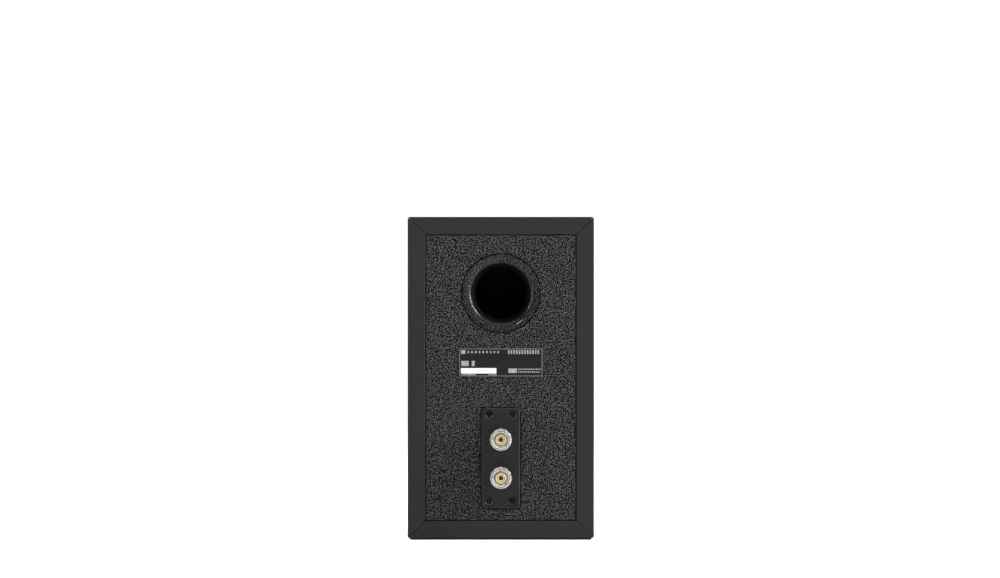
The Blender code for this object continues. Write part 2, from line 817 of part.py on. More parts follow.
def make_basket(axis):
    flange_back = -FLANGE_SUNK - WOOFER_FLANGE_T
    shell_turn = flange_back - 1.3 * MM
    outline = [
        (WOOFER_R, flange_back),
        (WOOFER_R, -FLANGE_SUNK - FLANGE_CHAMFER),
        (WOOFER_R - FLANGE_CHAMFER, -FLANGE_SUNK),
        (TRIM_SEAT_R, -FLANGE_SUNK),
        (TRIM_SEAT_R, -TRIM_SEAT_DEPTH),
        (BASKET_MOUTH_R, -TRIM_SEAT_DEPTH),
        (BASKET_MOUTH_R, shell_turn),
        (SPIDER_LEDGE_R, -SPIDER_LEDGE_DEPTH),
        (SPIDER_LEDGE_INNER_R, -SPIDER_LEDGE_DEPTH),
        (SPIDER_LEDGE_INNER_R, -BASKET_SEAT_DEPTH + BASKET_SEAT_T),
        (BASKET_EYE_R, -BASKET_SEAT_DEPTH + BASKET_SEAT_T),
        (BASKET_EYE_R, -BASKET_SEAT_DEPTH),
        (BASKET_SEAT_R, -BASKET_SEAT_DEPTH),
        (BASKET_SEAT_R, -SPIDER_LEDGE_DEPTH - BASKET_SHELL_T),
        (BASKET_SHELL_R, shell_turn - BASKET_SHELL_T / 2),
        (BASKET_SHELL_R, flange_back),
    ]
    basket = turned("woofer_basket", outline, "cast_frame", axis)
    window_inner = BASKET_SEAT_R + 2 * BASKET_WINDOW_EDGE
    window_outer = BASKET_MOUTH_R - BASKET_WINDOW_EDGE
    window = sector(window_inner, window_outer, BASKET_WINDOW_ANGLE)
    for number in range(BASKET_WINDOWS):
        turn = 90 + 360 * number / BASKET_WINDOWS
        name = f"basket_window_{number + 1}"
        cut(basket, prism(name, window, -BASKET_SEAT_DEPTH, 0, None, axis, turn=turn))

    head_r, head_t, shank_r = 3.3 * MM, 1.8 * MM, 1.75 * MM
    seat = -FLANGE_SUNK - head_t - 0.1 * MM
    past = 3 * MM
    counterbore = [
        (0, flange_back - past),
        (shank_r + GAP, flange_back - past),
        (shank_r + GAP, seat - GAP),
        (head_r + 0.4 * MM, seat - GAP),
        (head_r + 0.4 * MM, past),
        (0, past),
    ]
    socket = regular(6, 1.7 * MM)
    for number, x, y in on_circle(WOOFER_SCREWS, WOOFER_SCREWS_R, 45):
        at = (x, y, 0)
        cut(basket, turned(f"flange_hole_{number}", counterbore, None, axis, at, SCREW_SIDES))
        name = f"woofer_screw_{number}"
        screw(name, head_r, head_t, shank_r, seat, 13 * MM, socket, "black_steel", axis, at)

    trim_low = -TRIM_SEAT_DEPTH + GAP + SURROUND_T + GAP
    trim_high = trim_low + TRIM_T
    trim_inner = SURROUND_ROLL_CENTRE_R + SURROUND_ROLL_R + SURROUND_T
    trim_outer = TRIM_SEAT_R - GAP
    trim = [
        (trim_inner, trim_low),
        (trim_outer, trim_low),
        (trim_outer, trim_high),
        (trim_inner + TRIM_CHAMFER, trim_high),
        (trim_inner, trim_high - TRIM_CHAMFER),
    ]
    turned("woofer_trim_ring", trim, "rubber", axis)
    make_tag_strip(axis)


def tag_strip_depth():
    return BASKET_SEAT_DEPTH - GAP - TAG_STRIP_L / 2


def make_tag_strip(axis):
    """The strip with two solder tags, on the lower side of the basket's cylindrical back."""
    half, tag = TAG_STRIP_W / 2, TAG_W
    outline = [
        (-half, -TAG_STRIP_L / 2),
        (half, -TAG_STRIP_L / 2),
        (half, TAG_STRIP_L / 2 + TAG_L),
        (half - tag, TAG_STRIP_L / 2 + TAG_L),
        (half - tag, TAG_STRIP_L / 2),
        (-half + tag, TAG_STRIP_L / 2),
        (-half + tag, TAG_STRIP_L / 2 + TAG_L),
        (-half, TAG_STRIP_L / 2 + TAG_L),
    ]
    at = (0, -BASKET_SEAT_R - GAP, -tag_strip_depth())
    strip_frame = frame("tag_strip_frame", at, (90, 0, 0), axis)
    prism("woofer_tag_strip", outline, 0, TAG_STRIP_T, "circuit_board", strip_frame)


def make_woofer_motor(axis):
    plate_high = -BASKET_SEAT_DEPTH - GAP
    plate_low = plate_high - TOP_PLATE_T
    magnet_high = plate_low - GAP
    magnet_low = magnet_high - MAGNET_T
    back_high = magnet_low - GAP
    back_low = back_high - BACK_PLATE_T
    plate = tube(COIL_OUTER_R + COIL_CLEARANCE, TOP_PLATE_R, plate_low, plate_high)
    turned("woofer_top_plate", plate, "zinc_steel", axis)
    magnet = tube(MAGNET_BORE_R, MAGNET_R, magnet_low, magnet_high)
    turned("woofer_magnet", magnet, "ferrite", axis)
    yoke = [
        (POLE_VENT_R, back_low),
        (TOP_PLATE_R, back_low),
        (TOP_PLATE_R, back_high),
        (POLE_R, back_high),
        (POLE_R, plate_high),
        (POLE_VENT_R, plate_high),
    ]
    turned("woofer_yoke", yoke, "zinc_steel", axis)


def make_woofer_diaphragm(axis):
    """The cone, cap and coil, and the surround and spider that carry them."""
    coil = tube(COIL_R, COIL_OUTER_R, -COIL_END_DEPTH, -COIL_TOP_DEPTH)
    turned("woofer_voice_coil", coil, "copper", axis)

    lip_low = -TRIM_SEAT_DEPTH + GAP
    rim_high = -TRIM_SEAT_DEPTH
    front = cone_line(CONE_NECK_R, -CONE_NECK_DEPTH, CONE_RIM_INNER_R, rim_high)
    rim = [(CONE_RIM_R, rim_high), (CONE_RIM_R, rim_high - CONE_T)]
    behind = [(r, z - CONE_T) for r, z in reversed(front)]
    turned("woofer_cone", front + rim + behind, "cone_paper", axis)

    cap_base = height_at(CAP_R, front) + CAP_T / 2 + GAP
    cap = cap_shell(CAP_R, CAP_RISE, CAP_T, cap_base, CAP_STEPS)
    turned("woofer_dust_cap", cap, "cone_paper", axis)

    middle = lip_low + SURROUND_T / 2
    roll_outer = SURROUND_ROLL_R + SURROUND_T / 2
    roll_inner = SURROUND_ROLL_R - SURROUND_T / 2
    centre = SURROUND_ROLL_CENTRE_R
    over = arc(centre, middle, roll_outer, 0, 180, 8)
    under = arc(centre, middle, roll_inner, 180, 0, 8)
    top, low = middle + SURROUND_T / 2, middle - SURROUND_T / 2
    surround = [
        (SURROUND_LIP_R, low),
        (SURROUND_LIP_R, top),
        *over,
        (CONE_RIM_INNER_R + 0.5 * MM, top),
        (CONE_RIM_INNER_R + 0.5 * MM, low),
        *under,
    ]
    turned("woofer_surround", surround, "rubber", axis)

    rest = -SPIDER_LEDGE_DEPTH + GAP
    line = []
    flat = SPIDER_LEDGE_INNER_R + GAP
    for radius, step in wave(COIL_OUTER_R + GAP, flat, SPIDER_HALF_WAVES):
        line.append((radius, rest + SPIDER_WAVE * (step % 2)))
    line.append((SPIDER_EDGE_R, rest))
    spider = line + [(r, z + SPIDER_T) for r, z in reversed(line)]
    turned("woofer_spider", spider, "spider_cloth", axis)


def cone_line(neck_r, neck_z, rim_r, rim_z):
    """The cone's front from neck to rim, which flares a little: its rise falls off as it goes out."""
    points = []
    for i in range(CONE_STEPS + 1):
        along = i / CONE_STEPS
        points.append((neck_r + (rim_r - neck_r) * along, neck_z + (rim_z - neck_z) * cone_rise(along)))
    return points


def cone_rise(along):
    """The share of the cone's depth reached at that share of its radius."""
    flare = 0.18
    return along + flare * along * (1 - along)


def height_at(radius, line):
    """The z of a line of (radius, z) points at a radius between its ends."""
    for (r0, z0), (r1, z1) in zip(line, line[1:]):
        if r0 <= radius <= r1:
            return z0 + (z1 - z0) * (radius - r0) / (r1 - r0)
    raise ValueError("the radius is beyond the line's ends")


# ---------------------------------------------------------------- tweeter


def make_tweeter(axis):
    flange_back = -FLANGE_SUNK - TWEETER_FLANGE_T
    dish = []
    for i in range(TWEETER_DISH_STEPS + 1):
        along = i / TWEETER_DISH_STEPS
        radius = TWEETER_DISH_R + (TWEETER_THROAT_R - TWEETER_DISH_R) * along
        fall = (TWEETER_THROAT_DEPTH - FLANGE_SUNK) * along**2
        dish.append((radius, -FLANGE_SUNK - fall))
    outline = [
        (TWEETER_R, flange_back),
        (TWEETER_R, -FLANGE_SUNK - FLANGE_CHAMFER),
        (TWEETER_R - FLANGE_CHAMFER, -FLANGE_SUNK),
        *dish,
        (TWEETER_THROAT_R, -TWEETER_BOSS_DEPTH),
        (TWEETER_BOSS_R, -TWEETER_BOSS_DEPTH),
        (TWEETER_BOSS_R, flange_back),
    ]
    faceplate = turned("tweeter_faceplate", outline, "black_plastic", axis, sides=TWEETER_SIDES)

    head_r, head_t, shank_r = 3.1 * MM, 1.4 * MM, 1.6 * MM
    seat = -FLANGE_SUNK - head_t - 0.1 * MM
    past = 3 * MM
    counterbore = [
        (0, flange_back - past),
        (shank_r + GAP, flange_back - past),
        (shank_r + GAP, seat - GAP),
        (head_r + 0.4 * MM, seat - GAP),
        (head_r + 0.4 * MM, past),
        (0, past),
    ]
    socket = regular(6, 1.4 * MM)
    for number, x, y in on_circle(TWEETER_SCREWS, TWEETER_SCREWS_R, 90):
        at = (x, y, 0)
        cut(faceplate, turned(f"faceplate_hole_{number}", counterbore, None, axis, at, SCREW_SIDES))
        name = f"tweeter_screw_{number}"
        screw(name, head_r, head_t, shank_r, seat, 12 * MM, socket, "black_steel", axis, at)

    dome = cap_shell(DOME_R, DOME_RISE, DOME_T, -DOME_BASE_DEPTH, DOME_STEPS)
    turned("tweeter_dome", dome, "silk", axis, sides=TWEETER_SIDES)

    lip_low = -TWEETER_TOP_DEPTH + GAP
    middle = lip_low + TWEETER_LIP_T / 2
    centre = TWEETER_ROLL_CENTRE_R
    over = arc(centre, middle, TWEETER_ROLL_R + TWEETER_LIP_T / 2, 0, 180, 6)
    under = arc(centre, middle, TWEETER_ROLL_R - TWEETER_LIP_T / 2, 180, 0, 6)
    surround = [
        (TWEETER_LIP_R, lip_low),
        (TWEETER_LIP_R, lip_low + TWEETER_LIP_T),
        *over,
        *under,
    ]
    turned("tweeter_surround", surround, "silk", axis, sides=TWEETER_SIDES)

    coil_top = -DOME_BASE_DEPTH - DOME_T - GAP
    coil_inner = TWEETER_COIL_OUTER_R - TWEETER_COIL_T
    coil = tube(coil_inner, TWEETER_COIL_OUTER_R, -TWEETER_COIL_END_DEPTH, coil_top)
    turned("tweeter_voice_coil", coil, "copper", axis, sides=TWEETER_SIDES)

    top_low = -TWEETER_TOP_DEPTH - TWEETER_TOP_T
    bore = TWEETER_COIL_OUTER_R + COIL_CLEARANCE
    top_plate = tube(bore, TWEETER_TOP_R, top_low, -TWEETER_TOP_DEPTH)
    turned("tweeter_top_plate", top_plate, "zinc_steel", axis, sides=TWEETER_SIDES)
    magnet_high = top_low - GAP
    magnet_low = magnet_high - TWEETER_MAGNET_T
    magnet = tube(TWEETER_MAGNET_BORE_R, TWEETER_MAGNET_R, magnet_low, magnet_high)
    turned("tweeter_magnet", magnet, "ferrite", axis, sides=TWEETER_SIDES)
    yoke_high = magnet_low - GAP
    yoke = [
        (0, yoke_high - TWEETER_YOKE_T),
        (TWEETER_YOKE_R, yoke_high - TWEETER_YOKE_T),
        (TWEETER_YOKE_R, yoke_high),
        (TWEETER_POLE_R, yoke_high),
        (TWEETER_POLE_R, -TWEETER_TOP_DEPTH - GAP),
        (0, -TWEETER_TOP_DEPTH - GAP),
    ]
    turned("tweeter_yoke", yoke, "zinc_steel", axis, sides=TWEETER_SIDES)


# ---------------------------------------------------------------- crossover and leads


def board_top():
    return BASE_PAD_T + WALL + GAP + STANDOFF_H + BOARD_T


def make_crossover(floor):
    """The board on four standoffs, and its two coils and capacitor. floor's z is its top face."""
    board = prism(
        "crossover_board", rectangle(BOARD_W, BOARD_L), -BOARD_T, 0, "circuit_board", floor
    )
    for side_x in (-1, 1):
        for side_y in (-1, 1):
            x = side_x * (BOARD_W / 2 - STANDOFF_INSET)
            y = side_y * (BOARD_L / 2 - STANDOFF_INSET)
            name = f"standoff_{side_x}_{side_y}"
            leg = rod(STANDOFF_R, -BOARD_T - STANDOFF_H, -BOARD_T / 2)
            join(board, turned(name, leg, None, floor, (x, y, 0), SCREW_SIDES))

    coils = (
        ("woofer_inductor", 21 * MM, 9 * MM, 22 * MM, (-25 * MM, 25 * MM, 0)),
        ("tweeter_inductor", 15 * MM, 7 * MM, 13 * MM, (28 * MM, 30 * MM, 0)),
    )
    flange_t, flange_r = 1.5 * MM, 1.5 * MM
    for name, radius, bore, height, at in coils:
        low = GAP
        high = GAP + height
        bobbin = [
            (bore, low),
            (radius, low),
            (radius, low + flange_t),
            (radius - flange_r, low + flange_t),
            (radius - flange_r, high - flange_t),
            (radius, high - flange_t),
            (radius, high),
            (bore, high),
        ]
        turned(name, bobbin, "copper", floor, at, COIL_SIDES)

    can_r, can_l, can_edge = 8 * MM, 32 * MM, 1 * MM
    can_frame = frame("capacitor_axis", (25 * MM, -25 * MM, can_r + GAP), (90, 0, 0), floor)
    can = [
        (0, -can_l / 2),
        (can_r - can_edge, -can_l / 2),
        (can_r, -can_l / 2 + can_edge),
        (can_r, can_l / 2 - can_edge),
        (can_r - can_edge, can_l / 2),
        (0, can_l / 2),
    ]
    turned("tweeter_capacitor", can, "capacitor_film", can_frame, sides=COIL_SIDES - 8)


def between(t, a, b, c, d):
    """One coordinate of the Catmull-Rom curve that runs from b to c."""
    square = 2 * a - 5 * b + 4 * c - d
    cube = 3 * b - a - 3 * c + d
    return 0.5 * (2 * b + (c - a) * t + square * t**2 + cube * t**3)


def smooth(route):
    """A Catmull-Rom curve through the route's points, read LEAD_STEPS times between each two."""
    before = [2 * a - b for a, b in zip(route[0], route[1])]
    after = [2 * a - b for a, b in zip(route[-1], route[-2])]
    ends = [before, *route, after]
    points = []
    for four in zip(ends, ends[1:], ends[2:], ends[3:]):
        for i in range(LEAD_STEPS):
            along = i / LEAD_STEPS
            points.append(tuple(between(along, *axis) for axis in zip(*four)))
    return [*points, route[-1]]


def make_lead(name, route):
    """A twin lead, as a round tube along a smooth route in world coordinates."""
    data = bpy.data.curves.new(name, "CURVE")
    data.dimensions = "3D"
    data.bevel_depth = LEAD_R
    data.bevel_resolution = 2
    data.use_fill_caps = True
    points = smooth(route)
    spline = data.splines.new("POLY")
    spline.points.add(len(points) - 1)
    for point, co in zip(spline.points, points):
        point.co = (*co, 1)
    data.materials.append(material("lead_sheath"))
    lead = bpy.data.objects.new(name, data)
    bpy.context.scene.collection.objects.link(lead)
    return lead


def straight(end, direction, length):
    """Three points in line from a lead's end inwards, so that the end is cut square."""
    return [tuple(c + d * length * i / 2 for c, d in zip(end, direction)) for i in range(3)]


def make_leads():
    """The three internal leads. Each starts upright on the crossover board."""
    board_z = board_top() + GAP
    rise = 10 * MM
    up, down, back, forward = (0, 0, 1), (0, 0, -1), (0, 1, 0), (0, -1, 0)

    def behind(distance):
        return FRONT_Y + distance * MM

    stud = (0, REAR_Y - REAR_PANEL_RECESS - STUD_TAIL - GAP, TERMINAL_Z + POST_SPACING / 2)
    to_stud = [(6 * MM, behind(194), 52 * MM), (9 * MM, behind(204), 80 * MM)]
    foot = straight((4 * MM, behind(190), board_z), up, rise)
    make_lead("input_lead", foot + to_stud + straight(stud, forward, rise)[::-1])

    tags_z = WOOFER_Z - BASKET_SEAT_R - GAP - TAG_STRIP_T - GAP
    tags = (0, FRONT_Y + tag_strip_depth(), tags_z)
    to_tags = [(-21 * MM, behind(84), 42 * MM), (-8 * MM, behind(60), 42 * MM)]
    foot = straight((-25 * MM, behind(95), board_z), up, rise)
    make_lead("woofer_lead", foot + to_tags + straight(tags, down, rise / 2)[::-1])

    yoke_depth = TWEETER_TOP_DEPTH + TWEETER_TOP_T + TWEETER_MAGNET_T + TWEETER_YOKE_T
    yoke = (0, FRONT_Y + yoke_depth + 3 * GAP, TWEETER_Z - 24 * MM)
    to_yoke = [
        (50 * MM, behind(98), 70 * MM),
        (53 * MM, behind(96), 120 * MM),
        (50 * MM, behind(84), 165 * MM),
        (32 * MM, behind(58), 198 * MM),
    ]
    foot = straight((42 * MM, behind(95), board_z), up, rise)
    make_lead("tweeter_lead", foot + to_yoke + straight(yoke, back, rise)[::-1])


# ---------------------------------------------------------------- the whole speaker


def main():
    clear_scene()
    front = frame("front_face", (0, FRONT_Y, 0), (90, 0, 0))
    rear = frame("rear_face", (0, REAR_Y, 0), (90, 0, 180))
    make_cabinet(front, rear)
    make_port(frame("port_axis", (0, PORT_Z, -REAR_PANEL_RECESS), parent=rear))
    make_label(rear)
    make_terminals(frame("terminal_face", (0, TERMINAL_Z, -REAR_PANEL_RECESS), parent=rear))
    make_woofer(frame("woofer_axis", (0, WOOFER_Z, 0), parent=front))
    make_tweeter(frame("tweeter_axis", (0, TWEETER_Z, 0), parent=front))
    make_crossover(frame("board_face", (0, FRONT_Y + BOARD_FROM_FRONT, board_top())))
    make_leads()


main()
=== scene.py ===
"""A two-way bookshelf loudspeaker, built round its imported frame: a black wrapped box with a pebbled
rear panel, a flared reflex port, a terminal plate with two clear binding posts, and two drivers."""

import math

import bmesh
import bpy
import numpy as np
from bpy.props import FloatProperty, FloatVectorProperty, IntProperty, PointerProperty
from mathutils.geometry import tessellate_polygon
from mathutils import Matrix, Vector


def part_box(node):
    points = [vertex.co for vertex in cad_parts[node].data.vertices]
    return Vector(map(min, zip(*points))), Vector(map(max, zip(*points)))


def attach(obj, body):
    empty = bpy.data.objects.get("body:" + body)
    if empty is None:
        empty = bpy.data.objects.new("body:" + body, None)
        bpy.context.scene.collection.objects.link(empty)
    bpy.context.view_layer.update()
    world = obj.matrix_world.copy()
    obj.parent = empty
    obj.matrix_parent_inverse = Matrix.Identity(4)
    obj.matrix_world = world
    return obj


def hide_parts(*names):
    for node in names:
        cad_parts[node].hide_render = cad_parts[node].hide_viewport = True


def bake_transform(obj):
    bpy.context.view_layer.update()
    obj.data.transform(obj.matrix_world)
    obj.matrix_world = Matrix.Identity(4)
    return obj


bl_info = {
    "name": "Bookshelf Loudspeaker",
    "version": (1, 0, 0),
    "blender": (4, 5, 0),
    "location": "3D View > Sidebar > Loudspeaker",
    "description": "Builds the visible pieces of a two-way bookshelf loudspeaker on its frame",
    "category": "Add Mesh",
}

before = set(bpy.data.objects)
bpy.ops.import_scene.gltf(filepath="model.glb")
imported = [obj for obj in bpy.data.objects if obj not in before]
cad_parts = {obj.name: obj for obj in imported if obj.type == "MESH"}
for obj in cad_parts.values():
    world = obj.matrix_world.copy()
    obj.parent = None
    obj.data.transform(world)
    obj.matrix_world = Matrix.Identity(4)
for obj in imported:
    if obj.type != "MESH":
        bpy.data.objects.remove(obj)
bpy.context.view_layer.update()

MM = 0.001
TURN = 2 * math.pi
# Which way a local height points, after the directions of the local across and up.
REAR = np.array([(1, 0, 0), (0, 0, 1), (0, 1, 0)], float)
FRONT = np.array([(1, 0, 0), (0, 0, 1), (0, -1, 0)], float)
UPWARD = np.array([(1, 0, 0), (0, 1, 0), (0, 0, 1)], float)


# ---------------------------------------------------------------- places taken from the frame


def middle(node):
    """The middle of a node's box, as an array."""
    low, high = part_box(node)
    return (np.array(low) + np.array(high)) / 2


def extent(node):
    """The width, depth and height of a node's box, as an array."""
    low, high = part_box(node)
    return np.array(high) - np.array(low)


def turned_size(node, at, facing):
    """A turned node's outer radius, and the heights of its lower and its upper end above a place."""
    low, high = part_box(node)
    ends = sorted(float(facing[2, 1]) * (y - at[1]) for y in (low.y, high.y))
    return (high.x - low.x) / 2, *ends


PANEL_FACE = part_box("rear_panel")[1].y
BAFFLE_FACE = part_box("front_baffle")[0].y
PORT_AT = (0.0, PANEL_FACE, middle("port_mouth")[2])
LABEL_AT = (0.0, PANEL_FACE, middle("rating_label")[2])
PLATE_AT = (0.0, PANEL_FACE, middle("terminal_plate")[2])
POSTS_AT = {
    "positive": (0.0, PANEL_FACE, middle("positive_knob")[2]),
    "negative": (0.0, PANEL_FACE, middle("negative_knob")[2]),
}
WOOFER_AT = (0.0, BAFFLE_FACE, middle("woofer_basket")[2])
TWEETER_AT = (0.0, BAFFLE_FACE, middle("tweeter_faceplate")[2])

GAP = 0.3 * MM  # between a piece and the hole, rebate or pocket that it sits in
PORT_COLLAR_R = 30.1 * MM  # of the port's thick part, where it goes through the rear panel
PORT_BORE_R = 25 * MM
PLATE_CORNER_R = 5 * MM
PLATE_POCKET = 1.5 * MM  # depth of the rear panel's pocket for the terminal plate
POST_HOLE_R = 3.9 * MM  # of all that goes round a post's stud


# ---------------------------------------------------------------- sizes and colours a user may change


def length(name, description, default, low=0.0, high=1.0):
    """A length in metres."""
    return FloatProperty(
        name=name, description=description, default=default, min=low, max=high, unit="LENGTH"
    )


def share(name, description, default, high):
    """A number from nothing up to a limit."""
    return FloatProperty(
        name=name, description=description, default=default, min=0.0, max=high, subtype="FACTOR"
    )


def colour(name, description, default):
    """A linear colour."""
    return FloatVectorProperty(
        name=name, description=description, default=default, min=0.0, max=1.0, size=3, subtype="COLOR"
    )


class CabinetSettings(bpy.types.PropertyGroup):
    edge_radius: length("Edge radius", "Rounding of the boards' wrapped edges", 0.7 * MM)
    seam_radius: length("Seam radius", "Rounding of the boards at their mitres", 0.45 * MM)
    baffle_radius: length("Baffle edge", "Rounding of the baffle's front edges", 4 * MM)
    pebble_size: length("Pebble size", "Spacing of the rear panel's grain", 1.45 * MM)
    vinyl_colour: colour("Vinyl", "Colour of the wrapped boards", (0.0142, 0.0142, 0.0146))
    panel_colour: colour("Rear panel", "Colour of the pebbled wrap", (0.0200, 0.0200, 0.0204))


class PortSettings(bpy.types.PropertyGroup):
    sides: IntProperty(name="Sides", description="Steps round the port", default=144, min=24, max=360)
    colour: colour("Port", "Colour of the port's plastic", (0.024, 0.024, 0.025))


class TerminalSettings(bpy.types.PropertyGroup):
    plate_edge: length("Plate edge", "Rounding of the terminal plate's edge", 1 * MM)
    facets: IntProperty(name="Facets", description="Flats round each knob", default=12, min=6, max=24)
    plate_colour: colour("Plate", "Colour of the terminal plate", (0.0100, 0.0100, 0.0104))
    knob_colour: colour("Knob", "Tint of the clear knobs", (1.0, 0.985, 0.93))
    gold_colour: colour("Gold", "Colour of the gold plating", (0.98, 0.83, 0.56))


class DriverSettings(bpy.types.PropertyGroup):
    sides: IntProperty(name="Sides", description="Steps round each driver", default=144, min=24, max=360)
    cone_colour: colour("Cone", "Colour of the woofer's cone", (0.052, 0.052, 0.055))
    rubber_colour: colour("Surround", "Colour of the woofer's surround", (0.005, 0.005, 0.0055))
    silk_colour: colour("Dome", "Colour of the tweeter's dome", (0.016, 0.016, 0.018))


class StageSettings(bpy.types.PropertyGroup):
    floor_colour: colour("Floor", "Colour of the floor", (0.94, 0.94, 0.94))
    room_light: share("Room light", "Strength of the even light from all round", 0.22, 4.0)
    key_light: share("Key light", "Strength of the soft overhead light", 0.84, 20.0)
    strip_light: FloatProperty(
        name="Side light", description="Power of the tall soft boxes", default=40.0, min=0.0, unit="POWER"
    )
    floor_glow: share("Floor glow", "Light of its own that the floor shows", 0.7, 2.0)
    eye_height: length("Eye height", "Height of the camera above the floor", 0.2423)
    eye_distance: length("Eye distance", "Camera to the box's rear edge", 6.0, 1.0, 20.0)


# ---------------------------------------------------------------- outlines


def rounded_path(corners, steps=5, ends_open=False, crease=0.5 * MM):
    """Straight lines joined by arcs. Each corner is (a, b, radius), and its arc touches both lines: its
    centre is on the corner's bisector, radius / sin(half the angle) away, and its points turn evenly
    from one touching point to the other. A point on each line just past the arc keeps flats flat.
    Returns the points, and a wear value that is 1 on the arcs of outer corners and 0 elsewhere."""
    corners = np.asarray(corners, float)
    at, radius = corners[:, :2], corners[:, 2]
    back, ahead = np.roll(at, 1, 0) - at, np.roll(at, -1, 0) - at
    back_length, ahead_length = np.linalg.norm(back, axis=1), np.linalg.norm(ahead, axis=1)
    back, ahead = back / back_length[:, None], ahead / ahead_length[:, None]
    turning = back[:, 0] * ahead[:, 1] - back[:, 1] * ahead[:, 0]
    area = np.sum(at[:, 0] * np.roll(at[:, 1], -1) - at[:, 1] * np.roll(at[:, 0], -1))
    share_along = np.linspace(0, 1, steps + 1)[:, None]
    points, wear = [], []
    for i, r in enumerate(radius):
        if r <= 0 or (ends_open and i in (0, len(at) - 1)):
            points.append(at[i : i + 1])
            wear.append(np.zeros(1))
            continue
        half = 0.5 * math.acos(float(np.clip(back[i] @ ahead[i], -1, 1)))
        reach = r / math.tan(half)
        bisector = (back[i] + ahead[i]) / np.linalg.norm(back[i] + ahead[i])
        centre = at[i] + bisector * r / math.sin(half)
        sweep = math.pi - 2 * half
        start, end = at[i] + back[i] * reach - centre, at[i] + ahead[i] * reach - centre
        arc = np.sin((1 - share_along) * sweep) * start + np.sin(share_along * sweep) * end
        before = at[i] + back[i] * (reach + min(crease, 0.3 * max(back_length[i] - reach, 0)))
        after = at[i] + ahead[i] * (reach + min(crease, 0.3 * max(ahead_length[i] - reach, 0)))
        points += [before[None], centre + arc / math.sin(sweep), after[None]]
        outer = 1.0 if turning[i] * area < 0 else 0.0
        wear += [np.zeros(1), np.full(steps + 1, outer), np.zeros(1)]
    return np.concatenate(points), np.concatenate(wear)


def inset(corners, distance):
    """A convex polygon, anticlockwise, with each side moved inwards by a distance: each corner goes to
    where its two moved sides cross."""
    corners = np.asarray(corners, float)
    side = np.roll(corners, -1, 0) - corners
    side /= np.linalg.norm(side, axis=1)[:, None]
    normal = np.stack([-side[:, 1], side[:, 0]], 1)
    before = np.roll(normal, 1, 0)
    return corners + distance * (before + normal) / (1 + (before * normal).sum(1))[:, None]


def polygon(corners, radius, distance=0.0):
    """A convex polygon, anticlockwise, set in by a distance, with rounded corners."""
    moved = inset(corners, distance)
    radii = np.full((len(moved), 1), max(radius - distance, 0.04 * MM))
    return rounded_path(np.hstack([moved, radii]))[0]


def rectangle(width, height, at=(0.0, 0.0)):
    """The corners of a rectangle round a place, anticlockwise."""
    return [(at[0] + x * width / 2, at[1] + y * height / 2) for x, y in ((-1, -1), (1, -1), (1, 1), (-1, 1))]


def circle(radius, sides, at=(0.0, 0.0)):
    """Points at even angles: at + radius (cos t, sin t)."""
    angle = np.arange(sides) * TURN / sides
    return np.stack([at[0] + radius * np.cos(angle), at[1] + radius * np.sin(angle)], 1)


def arc(centre, radius, first, last, steps):
    """Points on an arc, from the first angle to the last, in degrees."""
    angle = np.radians(np.linspace(first, last, steps + 1))
    return np.stack([centre[0] + radius * np.cos(angle), centre[1] + radius * np.sin(angle)], 1)


# ---------------------------------------------------------------- surfaces


